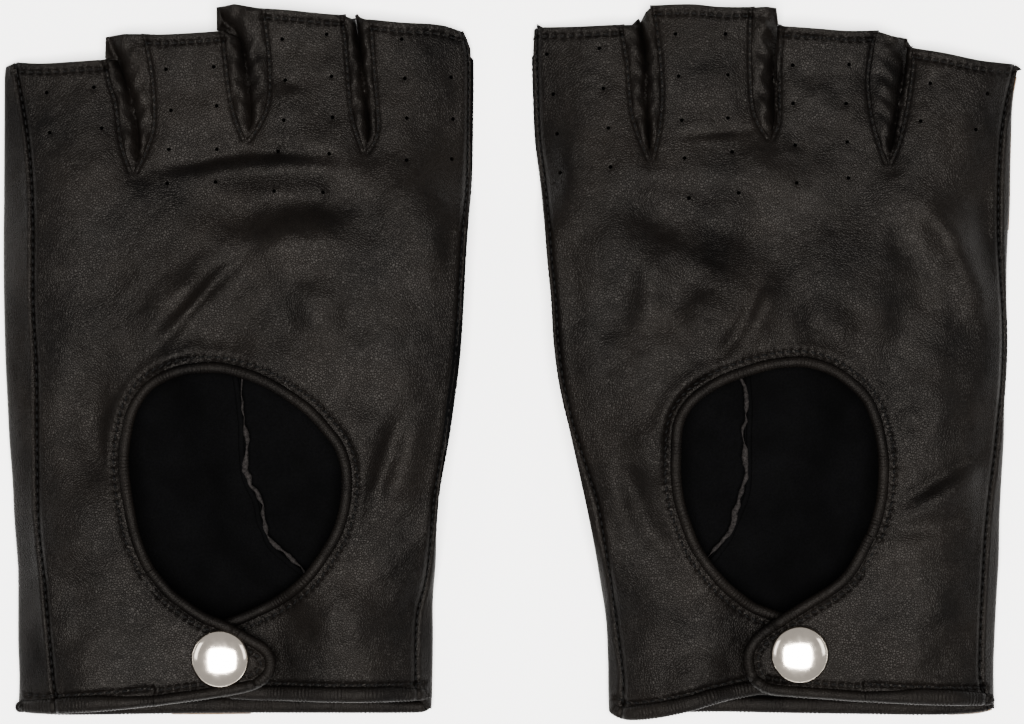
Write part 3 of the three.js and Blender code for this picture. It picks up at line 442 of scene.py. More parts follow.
def crisp(obj, tri, count):
    """Marks a thickened sheet's cut edges sharp, so its faces shade cleanly right up to them."""
    edge = np.vstack([tri[:, [0, 1]], tri[:, [1, 2]], tri[:, [2, 0]]]).astype(np.int64)
    both = set((edge[:, 0] * count + edge[:, 1]).tolist())
    ends = np.zeros(len(obj.data.edges) * 2, int)
    obj.data.edges.foreach_get("vertices", ends)
    ends = ends.reshape(-1, 2) % count
    a, b = ends[:, 0].astype(np.int64), ends[:, 1].astype(np.int64)
    forward = np.isin(a * count + b, list(both))
    backward = np.isin(b * count + a, list(both))
    obj.data.attributes.new("sharp_edge", "BOOLEAN", "EDGE").data.foreach_set("value", forward != backward)


def make(side, name, points, faces, material):
    """An object from points in glove millimetres. Faces turn over for the mirrored right glove."""
    co = to_frame(side, points)
    if SIGN[side] < 0:
        faces = [tuple(reversed(f)) for f in faces]
    mesh = bpy.data.meshes.new(side + "." + name)
    mesh.from_pydata(co.tolist(), [], [tuple(int(i) for i in f) for f in faces])
    mesh.validate()
    mesh.polygons.foreach_set("use_smooth", [True] * len(mesh.polygons))
    mesh.materials.append(MATERIALS[material])
    obj = bpy.data.objects.new(side + "." + name, mesh)
    bpy.context.scene.collection.objects.link(obj)
    return obj


def normals(co, tri):
    n = np.cross(co[tri[:, 1]] - co[tri[:, 0]], co[tri[:, 2]] - co[tri[:, 0]])
    out = np.zeros_like(co)
    for k in range(3):
        np.add.at(out, tri[:, k], n)
    return out / (np.linalg.norm(out, axis=1)[:, None] + 1e-12)


def thicken(co, tri, thickness):
    """A closed sheet: the given top, a bottom offset inwards, and the cut edges between them."""
    low = co - normals(co, tri) * thickness
    count = len(co)
    edge = np.vstack([tri[:, [0, 1]], tri[:, [1, 2]], tri[:, [2, 0]]])
    keys = edge[:, 0].astype(np.int64) * count + edge[:, 1]
    back = edge[:, 1].astype(np.int64) * count + edge[:, 0]
    open_ = edge[~np.isin(keys, back)]
    faces = tri.tolist() + (tri[:, ::-1] + count).tolist()
    faces += [(b, a, a + count, b + count) for a, b in open_.tolist()]
    return np.vstack([co, low]), faces


def lined(obj, count):
    """Gives the inner faces of a thickened sheet, which follow its outer ones, the leather's suede side."""
    obj.data.materials.append(MATERIALS["suede"])
    index = np.zeros(len(obj.data.polygons), int)
    index[count : 2 * count] = 1
    obj.data.polygons.foreach_set("material_index", index)


def skin(rows, columns, rows_close=False, columns_close=True):
    """Faces between neighbouring rows of points. Rows and columns can each run round in a ring."""
    faces = []
    for j in range(rows if rows_close else rows - 1):
        for k in range(columns if columns_close else columns - 1):
            a, b = j * columns + k, j * columns + (k + 1) % columns
            c, d = (j + 1) % rows * columns + (k + 1) % columns, (j + 1) % rows * columns + k
            faces.append((a, b, c, d))
    return faces


def tube(path, wide, tall, sides=12, ridge=0.0, pitch=0.9, caps=(True, True)):
    """A rope of elliptical section along a 3-D path. Crosswise ridges gather it."""
    path = np.asarray(path, float)
    s = lengths(path)
    t = np.gradient(path, axis=0)
    t /= np.linalg.norm(t, axis=1)[:, None]
    side = np.cross(t, (0.0, 0.0, 1.0))
    side /= np.linalg.norm(side, axis=1)[:, None]
    top = np.cross(side, t)
    wide = np.broadcast_to(wide, len(path)).astype(float)
    tall = np.broadcast_to(tall, len(path)).astype(float)
    rng = np.random.default_rng(len(path))
    knots = np.arange(0, s[-1] + 4, 3.0)
    wobble = np.interp(s, knots, rng.uniform(0, 5, len(knots)))
    gather = 1 + ridge * np.sin(2 * np.pi * s / pitch + wobble) * (0.6 + 0.4 * np.sin(s * 0.7))
    turn = np.arange(sides) / sides * 2 * np.pi
    shrink = np.ones(len(path))
    for end, rounded in zip((0, -1), caps):
        shrink[end] = 0.55 if rounded else 1.0
    co = []
    for i in range(len(path)):
        g = gather[i] * shrink[i]
        co.append(path[i] + np.outer(np.cos(turn) * wide[i] * g, side[i])
                  + np.outer(np.sin(turn) * tall[i] * g, top[i]))
    co = np.vstack(co)
    faces = skin(len(path), sides)
    faces.append(tuple(range(sides))[::-1])
    faces.append(tuple(range(len(co) - sides, len(co))))
    return co, faces


def merge(parts):
    co, faces, start = [], [], 0
    for c, f in parts:
        co.append(np.asarray(c))
        faces += [tuple(i + start for i in face) for face in f]
        start += len(c)
    return np.vstack(co), faces


def lathe(profile, centre, count=72):
    """A turned piece about an upright axis. The profile runs from axis to axis, or closes."""
    profile = np.asarray(profile, float)
    closed = profile[0][0] > 1e-6
    turn = np.arange(count) / count * 2 * np.pi
    co = []
    for r, h in profile:
        co += [(centre[0] + r * math.cos(a), centre[1] + r * math.sin(a), centre[2] + h) for a in turn]
    return np.array(co), skin(len(profile), count, closed)


# ------------------------------------------------------------------------------- materials
# The second colour is the lighter, randomly worn tone; the leather's colour falls towards the first in the
# creases between pebbles, which is painted shade.
BLACK, WORN_AND_UNSHADED_BLACK = (0.0006, 0.0005, 0.0005), (0.0030, 0.0024, 0.0020)


def node_material(name, build):
    """A material whose colour, gloss and relief come from nodes alone. build() feeds its shader."""
    material = bpy.data.materials.new(name)
    material.use_nodes = True
    nodes, links = material.node_tree.nodes, material.node_tree.links
    nodes.clear()
    out = nodes.new("ShaderNodeOutputMaterial")
    shader = nodes.new("ShaderNodeBsdfPrincipled")
    links.new(shader.outputs[0], out.inputs[0])
    place = nodes.new("ShaderNodeTexCoord").outputs["Object"]

    def node(kind, inputs=None, **settings):
        made = nodes.new(kind)
        for key, value in settings.items():
            setattr(made, key, value)
        for key, value in (inputs or {}).items():
            if isinstance(value, bpy.types.NodeSocket):
                links.new(value, made.inputs[key])
            else:
                made.inputs[key].default_value = value
        return made

    def noise(scale, detail=2.0, rough=0.5, vector=None):
        return node("ShaderNodeTexNoise", {"Vector": vector or place, "Scale": scale,
                                           "Detail": detail, "Roughness": rough}).outputs[0]

    def span(value, a, b, c, d):
        return node("ShaderNodeMapRange", {0: value, 1: a, 2: b, 3: c, 4: d}).outputs[0]

    def mixed(factor, a, b):
        made = node("ShaderNodeMix", {0: factor, 6: (*a, 1), 7: (*b, 1)}, data_type="RGBA")
        return made.outputs[2]

    def sums(op, a, b):
        return node("ShaderNodeMath", {0: a, 1: b}, operation=op).outputs[0]

    def bump(height, strength, distance, normal=None):
        inputs = {"Height": height, "Strength": strength, "Distance": distance}
        if normal is not None:
            inputs["Normal"] = normal
        return node("ShaderNodeBump", inputs).outputs[0]

    def feed(socket, value):
        if isinstance(value, bpy.types.NodeSocket):
            links.new(value, shader.inputs[socket])
        else:
            shader.inputs[socket].default_value = value

    build(SimpleNamespace(node=node, noise=noise, span=span, mixed=mixed, sums=sums, bump=bump,
                          feed=feed, place=place))
    return material


def leather(rough, grain, strength):
    """Nappa: fine irregular pebbles between hairline creases, a little worn and uneven in sheen. Its colour
    is darker in the creases between pebbles: painted shade.
    """
    def build(k):
        warp = k.noise(260, 2)
        swirl = k.node("ShaderNodeTexNoise", {"Vector": k.place, "Scale": 240.0, "Detail": 2.0}).outputs[1]
        shift = k.node("ShaderNodeVectorMath", {0: swirl, 3: 0.0016}, operation="SCALE").outputs[0]
        moved = k.node("ShaderNodeVectorMath", {0: k.place, 1: shift}, operation="ADD").outputs[0]
        cells = k.node("ShaderNodeTexVoronoi", {"Vector": moved, "Scale": grain},
                       feature="DISTANCE_TO_EDGE").outputs[0]
        pebble = k.span(cells, 0.0, 0.22, 0.0, 1.0)
        fine = k.noise(grain * 2.6, 3)
        patches = k.noise(38, 3)
        amount = k.span(patches, 0.35, 0.65, 0.6, 1.0)
        relief = k.sums("MULTIPLY", pebble, amount)
        relief = k.sums("ADD", relief, k.sums("MULTIPLY", fine, 0.15))
        tone = k.span(k.noise(55, 3), 0.3, 0.7, 0, 1)
        # Darker colour in the creases between pebbles: painted shade, laid over the random worn tone above.
        tone = k.sums("MULTIPLY", tone, k.span(pebble, 0, 1, 0.45, 1.0))
        k.feed("Base Color", k.mixed(tone, BLACK, WORN_AND_UNSHADED_BLACK))
        k.feed("Roughness", k.span(k.sums("ADD", warp, patches), 0.7, 1.3, rough - 0.02, rough + 0.03))
        k.feed("Specular IOR Level", 0.044)
        k.feed("Specular Tint", (1.0, 0.94, 0.88, 1))
        wrinkle = k.bump(k.noise(300, 3), 0.06, 0.0006)
        k.feed("Normal", k.bump(relief, strength, 0.0003, wrinkle))
    return build


def suede(k):
    nap = k.noise(1800, 4, 0.7)
    tone = k.sums("MULTIPLY", k.span(k.noise(90, 4), 0.3, 0.7, 0.45, 1), nap)
    k.feed("Base Color", k.mixed(tone, (0.0002, 0.0002, 0.0002), (0.0017, 0.0017, 0.0019)))
    k.feed("Roughness", 0.95)
    k.feed("Specular IOR Level", 0.015)
    k.feed("Normal", k.bump(nap, 0.5, 0.0004))


def raw_edge(k):
    fuzz = k.noise(1500, 3, 0.6)
    tone = k.span(fuzz, 0.3, 0.7, 0, 1)
    k.feed("Base Color", k.mixed(tone, (0.0012, 0.0010, 0.0010), (0.012, 0.0106, 0.0102)))
    k.feed("Roughness", 0.85)
    k.feed("Specular IOR Level", 0.05)
    k.feed("Normal", k.bump(fuzz, 0.6, 0.0004))


def brown_edge(k):
    fuzz = k.noise(1200, 3, 0.6)
    tone = k.span(fuzz, 0.3, 0.7, 0, 1)
    k.feed("Base Color", k.mixed(tone, (0.05, 0.028, 0.013), (0.12, 0.07, 0.035)))
    k.feed("Roughness", 0.8)
    k.feed("Normal", k.bump(fuzz, 0.5, 0.0003))


def thread(k):
    twist = k.node("ShaderNodeTexWave", {"Vector": k.place, "Scale": 900.0, "Distortion": 1.5},
                   bands_direction="DIAGONAL").outputs[1]
    k.feed("Base Color", k.mixed(twist, (0.0006, 0.0006, 0.0006), (0.0026, 0.0025, 0.0025)))
    k.feed("Roughness", 0.7)
    k.feed("Specular IOR Level", 0.06)
    k.feed("Normal", k.bump(twist, 0.5, 0.0002))


def nickel(k):
    haze = k.noise(700, 3)
    k.feed("Base Color", k.mixed(haze, (0.60, 0.53, 0.45), (0.66, 0.59, 0.505)))
    k.feed("Metallic", 1.0)
    k.feed("Roughness", k.span(haze, 0.3, 0.7, 0.11, 0.17))
    k.feed("Normal", k.bump(k.noise(120, 2), 0.05, 0.0006))


MATERIALS = {
    "leather": node_material("black_nappa", leather(0.39, 1700.0, 0.32)),
    "binding": node_material("binding_leather", leather(0.48, 1800.0, 0.3)),
    "suede": node_material("leather_inside", suede),
    "raw": node_material("raw_leather_edge", raw_edge),
    "brown": node_material("undyed_edge", brown_edge),
    "thread": node_material("black_thread", thread),
    "metal": node_material("polished_nickel", nickel),
}


# ------------------------------------------------------------------------------- one glove
def flat_size(*outlines):
    """Width, length and area of the flat cut that these outlines make up side by side, in metres."""
    width = sum(np.ptp(o[:, 0]) for o in outlines) * MM
    length = max(np.ptp(o[:, 1]) for o in outlines) * MM
    return (width, length), sum(abs(signed_area(o)) for o in outlines) * MM**2


class Glove:
    """One glove in its own millimetres: the paths of its plan, the heights over it, and its pieces."""

    def __init__(self, side):
        self.side = side
        plan = PLANS[side]
        self.stud = np.array([0.0, STUD_V[side]])
        for name in ("little", "thumb", "little_seam", "thumb_seam", "keyhole", "tab", "under_end",
                     "wrist_little", "wrist_thumb", "palm_end", "thumb_seam_inside"):
            setattr(self, name, spline(plan[name]))
        (self.fold_u, self.fold_top), (_, self.fold_low) = plan["fold"]
        self.keyhole = self.keyhole[np.flatnonzero(self.keyhole[:, 0] <= self.fold_u)[0]:]
        self.hems = [spline(h) for h in plan["hems"]]
        self.lips = [(spline(a), spline(b)) for a, b in plan["lips"]]
        self.valleys = [spline(v) for v in plan["valleys"]]
        self.gap_ends = [np.array(g) for g in plan["gap_ends"]]
        self.holes = np.array(plan["holes"])
        self.rims = [(resample(spline(path), 0.5), z) for path, z in plan["rims"]]
        self.strokes = [(spline(p, 1.5), w, a) for p, w, a in plan["strokes"]]
        rng = np.random.default_rng(11 if side == "left" else 23)
        self.waves = [(rng.uniform(0, 2 * np.pi), rng.uniform(0, 2 * np.pi), wavelength, height)
                      for wavelength, height, count in WAVES for _ in range(count)]
        # Sewn lines, each with the width and depth of its furrow and how strongly its stitches pit it.
        self.grooves = [(self.little_seam, 0.55, 1.0, 0.25), (self.thumb_seam, 0.55, 0.8, 0.25)]
        self.grooves += [(offset(h, -HEM_ROW), 0.5, 0.85, 0.9) for h in self.hems]
        self.grooves += [(offset(lip, -LIP_ROW), 0.45, 0.85, 0.4) for pair in self.lips for lip in pair]
        self.grooves.append((offset(self.keyhole, 3.1), 0.5, 0.5, 0.0))
        self.grooves.append((offset(self.keyhole, KEYHOLE_ROW), 0.6, 0.85, 0.7))
        self.wrist_row = {"little": offset(self.wrist_little, -4.6), "thumb": offset(self.wrist_thumb, 4.4)}
        self.tab_row = offset(self.tab, -3.9)
        self.grooves.append((self.tab_row, 0.65, 1.0, 0.7))
        self.swing = np.array(THUMB_SWING)
        turn = np.radians(np.concatenate([np.linspace(122, 10, 15), np.linspace(0, -180, 15)]))
        reach = np.where(np.arange(30) < 15, 64.0, 24.0)
        self.raised = self.swing + reach[:, None] * np.stack([np.cos(turn), np.sin(turn)], axis=1)
        self.grooves += [(row, 0.65, 1.15, 0.7) for row in self.wrist_row.values()]

    def lift(self, p):
        """How far the palm is held up by the thumb folded under it."""
        d = near(p, np.vstack([self.raised, self.raised[:1]]))[0]
        d[inside(p, self.raised)] = 0
        free = smoothstep((np.hypot(p[:, 0], p[:, 1] - self.stud[1]) - 16) / 9)
        return 7.3 * smoothstep(1 - np.clip(d - 2, 0, None) / 17) * free

    def crown(self, p):
        u, v = p[:, 0], p[:, 1]
        top = np.full(len(p), TAB_TOP)
        top += 4.4 * np.exp(-(((u - 28) / 36) ** 2 + ((v - 90) / 40) ** 2))
        top -= 3.4 * smoothstep((v - 118) / 55)
        return top

    def dome(self, p):
        """The back's smooth height, without its folds."""
        d = np.minimum(near(p, self.little)[0], near(p, self.thumb)[0])
        t = np.clip(d / 23.0, 0, 1)
        side = self.lift(p) + EDGE
        return side + (self.crown(p) - side) * np.sin(np.pi / 2 * t) ** 0.8

    def folds(self, p):
        z = np.zeros(len(p))
        for path, width, height in self.strokes:
            d, s = near(p, path)
            total = lengths(path)[-1]
            ends = smoothstep(s / (0.4 * total)) * smoothstep((total - s) / (0.4 * total))
            z += (1.25 + 0.11 * width) * height * (0.03 + 0.97 * ends) * np.exp(-((d / (1.5 * width)) ** 2))
        for a, b, lam, amp in self.waves:
            z += amp * np.sin(2 * np.pi * (p[:, 0] * np.cos(a) + p[:, 1] * np.sin(a)) / lam + b)
        d = np.minimum(near(p, self.little)[0], near(p, self.thumb)[0])
        return z * smoothstep(d / 9.0)

    def top(self, p):
        """Height of the back's outer face."""
        z = self.dome(p)
        calm = smoothstep((np.hypot(p[:, 0], p[:, 1] - self.stud[1]) - 9) / 12)
        z = z + self.folds(p) * (0.15 + 0.85 * calm)
        for path, width, depth, pits in self.grooves:
            d, s = near(p, path)
            pucker = 1 - pits * 0.5 + pits * 0.5 * np.cos(2 * np.pi * s / stitch_pitch(path))
            z -= depth * pucker * np.exp(-((d / width) ** 2))
            z += 0.22 * depth * np.exp(-(((d - 2.1 * width) / (1.1 * width)) ** 2))
        for hem in self.hems:
            z += 0.28 * smoothstep((2.2 - near(p, hem)[0]) / 0.5)
        for a, b in self.lips:
            for lip in (a, b):
                z -= 0.6 * np.exp(-((near(p, lip)[0] / 3.2) ** 2))
        for x, y in self.holes:
            r = np.hypot(p[:, 0] - x, p[:, 1] - y)
            z -= 0.22 * np.exp(-((r / 1.1) ** 2))
        return z

    def dip(self, p):
        """How far the thumb side's leather lies below the tab that laps over it."""
        u, v = p[:, 0], p[:, 1]
        beside = 1 - smoothstep((u - 9) / 20)
        below = 1 - smoothstep((v - 27) / 16)
        return 5.2 * beside * below * (u > self.fold_u + 0.5)

    def back(self, p):
        return self.top(p) - self.dip(p)

    def sheet(self, name, outline, height, material, holes=(), step=1.0, thickness=LEATHER, rings=()):
        """A closed sheet of leather with its outer face at the given height. Leather is suede inside."""
        co2, tri = fill(outline, holes, step, rings)
        co = np.column_stack([co2, height(co2)])
        points, faces = thicken(co, tri, thickness)
        obj = make(self.side, name, points, faces, material)
        crisp(obj, tri, len(co))
        if material == "leather":
            lined(obj, len(tri))
        return obj

    def stitches(self, name, path, height, slant):
        """A row of separate stitches, each a short thread that sinks into the leather at its ends."""
        line = resample(path, 0.1)
        s = lengths(line)
        count = round(s[-1] / stitch_pitch(line))
        parts = []
        for i in range(count):
            mid = (i + 0.5) * s[-1] / count
            at = mid + np.linspace(-STITCH_LENGTH / 2, STITCH_LENGTH / 2, 7)
            across = np.linspace(-slant, slant, 7)
            before, after, base = (np.stack([np.interp(x, s, line[:, k]) for k in (0, 1)], axis=-1)
                                   for x in (mid - 0.2, mid + 0.2, at))
            t = after - before
            t /= np.linalg.norm(t) + 1e-9
            parts.append(base + np.stack([-t[1] * across, t[0] * across], axis=1))
        flat = np.vstack(parts)
        z = height(flat)
        rise = np.array([-0.35, 0.02, 0.14, 0.18, 0.14, 0.02, -0.35])
        ropes = []
        for i in range(count):
            rows = slice(i * 7, i * 7 + 7)
            path = np.column_stack([flat[rows], z[rows] + rise])
            ropes.append(tube(path, STITCH_RADIUS, STITCH_RADIUS * 0.9, sides=6))
        co, faces = merge(ropes)
        return make(self.side, name, co, faces, "thread")

    def finish(self, obj, slot, nodes):
        if nodes:
            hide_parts(*[f"{self.side}_{n}" for n in nodes])

    def own(self, obj, body, slot, *nodes):
        """A piece that moves with one body."""
        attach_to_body(obj, f"{self.side}_{body}")
        self.finish(obj, slot, nodes)

    def own_glove(self, obj, slot, *nodes):
        self.own(obj, "glove", slot, *nodes)

    def bend(self, obj, slot, *nodes):
        """A piece of the tab: its placement is baked into its points and the CAD parts it stands for are
        hidden.
        """
        start, end = to_frame(self.side, [(self.fold_u, 14, 12), (self.fold_u + TAB_BEND, 14, 12)])
        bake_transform(obj)
        self.finish(obj, slot, nodes)

    def fold_line(self):
        """The straight line at the tab's root where the tab and the back share an edge, from the top."""
        v = np.linspace(self.fold_top - 1.0, self.fold_low + 1.5, 34)
        return np.stack([np.full(len(v), self.fold_u), v], axis=1)

    # -- pieces ---------------------------------------------------------------------------
    def back_panel(self):
        """The back of the hand, from the tab's fold round the wrist, fingers and keyhole."""
        seam_l = self.little_seam
        seam_t = self.thumb_seam
        wrist_l = offset(self.wrist_little, -1.5)
        wrist_l = wrist_l[(wrist_l[:, 0] > seam_l[0][0] + 1) & (wrist_l[:, 0] < self.fold_u - 0.3)]
        fingers = [self.hems[0]]
        for hem, lips in zip(self.hems[1:], self.lips):
            fingers += [*lips, hem]
        wrist_t = offset(self.wrist_thumb, 1.5)
        wrist_t = wrist_t[wrist_t[:, 0] < seam_t[0][0] - 1]
        keyhole = offset(self.keyhole, 0.9)[::-1]
        late = np.arange(len(keyhole)) > len(keyhole) - 12
        past = np.flatnonzero((keyhole[:, 0] > self.fold_u - 0.2) & late)
        if len(past):
            keyhole = keyhole[: past[0]]
        outline = thinned(np.vstack([
            self.fold_line(), wrist_l, offset(seam_l, -SEAM_GAP)[1:], *fingers,
            offset(seam_t, SEAM_GAP)[::-1][:-1], wrist_t[::-1], self.under_end[::-1], keyhole]), 0.08)
        turn = np.arange(10) / 10 * 2 * np.pi
        punch = HOLE_RADIUS * np.stack([np.cos(turn), np.sin(turn)], axis=1)
        holes = [centre + punch for centre in self.holes]
        rings = [offset(seam_l, -d) for d in (0.6, 1.2)] + [offset(seam_t, d) for d in (0.6, 1.2)]
        rings += [offset(lip, -d) for pair in self.lips for lip in pair for d in (0.5, 1.0, 1.6)]
        rings += [offset(h, -d) for h in self.hems for d in (HEM_ROW - 0.5, HEM_ROW, HEM_ROW + 0.5)]
        rings += [offset(self.keyhole, d) for d in (3.1, 3.6, KEYHOLE_ROW, 4.6)]
        rings = [resample(ring, 0.42) for ring in rings]
        rings += [offset(self.wrist_row[k], d) for k in self.wrist_row for d in (-0.5, 0, 0.5)]
        obj = self.sheet("back_panel", outline, self.back, "leather", holes, 0.95, rings=rings)
        self.own_glove(obj, "leather", "back_panel")

    def fourchettes(self):
        """Between two fingers: one wall from each finger's lip down to the slit in the palm."""
        names = ("little_ring", "ring_middle", "middle_index")
        for i, name in enumerate(names):
            valley, ends = self.valleys[i], self.gap_ends[i]
            cut = GAP_CUTS[i]
            low = self.slit(i)
            first = np.vstack([self.lips[i][0], low, ends[cut:0:-1] if cut else low[-1:] + 0.01])
            second = np.vstack([self.lips[i][1][::-1], low, ends[cut + (1 if cut else 0):-1]])
            for k, (lip, outline) in enumerate(zip(self.lips[i], (first, second))):
                def height(p, lip=lip, k=k):
                    down, along = near(p, valley)
                    up = near(p, lip)[0]
                    t = down / (down + up + 1e-6)
                    high = self.back(p) - 0.25
                    deep = 1.5 + (high - 1.5) * (1 - smoothstep(along / 10))
                    wave = 0.34 * np.sin(along / 1.7 + 4 * t + k) + 0.24 * np.sin(along / 0.8 - 6 * t)
                    deep = np.maximum(deep, high - 2.4 - 0.06 * along)
                    roll = np.sin(np.pi / 2 * t) ** 0.38
                    bulge = 0.7 * np.sin(np.pi * t) * smoothstep(along / 6)
                    return deep + (high - deep) * roll + bulge + wave * np.sin(np.pi * t)
                outline = shrunk(thinned(outline, 0.12), 0.1)
                on_valley = near(outline, low)[0] < 0.3
                middle = outline[~on_valley].mean(0)
                away = outline[on_valley] - middle
                outline[on_valley] += 0.4 * away / (np.linalg.norm(away, axis=1)[:, None] + 1e-9)
                obj = self.sheet(f"fourchette_{name}_{k}", outline, height, "leather", (), 0.8, thickness=0.8)
                self.own_glove(obj, "leather", *([f"fourchette_{name}"] if k else []))

    def slit(self, i):
        """The line between two fingers along which their walls meet the palm."""
        valley = self.valleys[i]
        if i == 2:
            return valley
        stop = near(np.array([PLANS[self.side]["valleys"][i][-2]], float), valley)[1][0]
        return valley[lengths(valley) <= stop]

    def thumb_hole(self):
        """The opening in the palm that the thumb is sewn to."""
        return np.vstack([self.thumb_seam_inside, spline(THUMB_HOLE, 2.0)])

    def palm_low(self, p):
        """Height of the palm's outer face."""
        d = np.minimum(near(p, self.little)[0], near(p, self.thumb)[0])
        z = self.lift(p) + EDGE * (1 - np.sqrt(np.clip(1 - (1 - np.clip(d / 3.0, 0, 1)) ** 2, 0, 1)))
        for valley in self.valleys:
            r = near(p, valley)[0]
            z = np.maximum(z, 1.1 * np.clip(1 - r / 2.2, 0, 1) ** 2)
        return z

    def palm_panel(self):
        """The palm, and the strip of it that wraps round each side to the seam on the back."""
        little, thumb = self.little, self.thumb
        fingers = []
        for i, hem in enumerate(self.hems):
            hem = hem[1:-1]
            if i == 0:
                hem = np.vstack([little[-1:], hem[3:]])
            if i == 3:
                hem = np.vstack([hem[:-3], thumb[-1:]])
            fingers.append(hem + PALM_SHORTER)
            if i < 3:
                slit = resample(self.slit(i), 0.8)
                ends = self.gap_ends[i] + PALM_SHORTER
                cut = GAP_CUTS[i]
                fingers += [ends[1:cut], offset(slit, SLIT_HALF)[::-1], slit[:1], offset(slit, -SLIT_HALF),
                            ends[max(cut, 1):-1]]
        outline = thinned(np.vstack([self.palm_end[::-1], little[2:], *fingers, thumb[::-1][:-2]]), 0.08)
        from_edge = (0.15, 0.5, 1.1, 2.0)
        rings = [offset(little, -d) for d in from_edge] + [offset(thumb, d) for d in from_edge]
        co2, tri = fill(outline, [self.thumb_hole()], 1.6, rings)
        low = np.column_stack([co2, self.palm_low(co2)])
        parts = [(low, tri[:, ::-1])]
        strips = []
        for seam, edge, way in ((self.little_seam, little, 1), (self.thumb_seam, thumb, -1)):
            loop = np.vstack([offset(seam, SEAM_GAP * way), edge[2:][::-1]])
            strips.append(loop)
            rings = [offset(edge, -d * way) for d in (0.15, 0.5, 1.1)]
            rings += [offset(seam, d * way) for d in (0.5, 1.0, 1.6)]
            c2, t2 = fill(loop, (), 0.9, rings)
            parts.append((np.column_stack([c2, self.top(c2)]), t2))
        co, faces = merge(parts)
        # The strips and the palm are one piece, so their points along the two sides are joined.
        key = np.round(co[:, :2] / 0.002).astype(np.int64)
        on_edge = np.minimum(near(co[:, :2], little)[0], near(co[:, :2], thumb)[0]) < 0.01
        index = np.arange(len(co))
        seen = {}
        for i in np.flatnonzero(on_edge):
            index[i] = seen.setdefault(tuple(key[i]), i)
        tri = index[np.array(faces)]
        used, back = np.unique(tri, return_inverse=True)
        co, tri = co[used], back.reshape(-1, 3)
        points, faces = thicken(co, tri, LEATHER)
        obj = make(self.side, "palm_panel", points, faces, "leather")
        crisp(obj, tri, len(co))
        lined(obj, len(tri))
        flat, area = flat_size(outline, *strips)
        area - flat_size(self.thumb_hole())[1]
        self.own_glove(obj, "leather", "palm_panel")

    def binding(self, name, path, height, wide, tall, lift=0.15, way=1, caps=(True, True)):
        """A rolled binding whose outer side follows the path. way says on which side of the path it lies."""
        edge = resample(path, 0.22)
        part = np.linspace(0, 1, len(edge))
        wide, tall = (np.interp(part, np.linspace(0, 1, np.size(x)), np.atleast_1d(x)) for x in (wide, tall))
        line = offset(edge, 1.0) - edge
        line = edge + line * (way * (wide - 0.06))[:, None]
        co, faces = tube(np.column_stack([line, height(line) + lift]), wide, tall, 14, 0.065, 0.95, caps)
        obj = make(self.side, name, co, faces, "binding")
        attach = self.bend if name == "tab_binding" else self.own_glove
        attach(obj, "binding", name)

    def bindings(self):
        self.binding("keyhole_binding", self.keyhole, self.back, 1.42, 1.45, caps=(False, True))
        self.binding("tab_binding", self.tab, self.top, 1.42, 1.45, way=-1, caps=(False, False))
        self.binding("wrist_binding_little", self.wrist_little, self.back, [1.42, 1.7, 2.1, 2.1, 1.9, 1.4],
                     [1.45, 1.4, 1.4, 1.35, 1.2, 0.9], way=-1, caps=(False, True))
        self.binding("wrist_binding_thumb", self.wrist_thumb, self.back, [1.7, 1.9, 2.0, 2.0, 2.0, 1.4],
                     [1.0, 1.15, 1.15, 1.15, 1.1, 0.8])
        self.binding("palm_binding", self.palm_end, self.palm_low, [1.4, 2.0, 2.1, 2.1, 2.0, 1.4], 1.25, 1.3)

    def tab_panel(self):
        edge = offset(self.tab, -0.9)
        edge = edge[edge[:, 0] > self.fold_u + 0.2]
        outline = np.vstack([edge, self.fold_line()[::-1]])
        rings = [resample(offset(self.tab, -d), 0.42) for d in (3.3, 3.9, 4.5)]
        obj = self.sheet("snap_tab", outline, self.top, "leather", step=0.9, rings=rings)
        self.bend(obj, "leather", "snap_tab")

    def threads(self):
        rows = [("keyhole_stitching", offset(self.keyhole, KEYHOLE_ROW), 0.22),
                ("wrist_stitching_little", self.wrist_row["little"], 0.2),
                ("wrist_stitching_thumb", self.wrist_row["thumb"], 0.2),
                ("little_seam_stitching", self.little_seam, 0.0),
                ("thumb_seam_stitching", self.thumb_seam, 0.0)]
        rows += [(f"{finger}_hem_stitching", offset(hem, -HEM_ROW)[1:-1], 0.0)
                 for finger, hem in zip(("little", "ring", "middle", "index"), self.hems)]
        for name, path, slant in rows:
            self.own_glove(self.stitches(name, path, self.back, slant), "thread", name)
        for i, pair in enumerate(self.lips):
            for k, lip in enumerate(pair):
                row = offset(lip, -LIP_ROW)[2:-2]
                self.own_glove(self.stitches(f"lip_stitching_{i}_{k}", row, self.back, 0.0), "thread")
        row = self.stitches("tab_stitching", self.tab_row[1:-1], self.top, 0.22)
        self.bend(row, "thread", "tab_stitching")

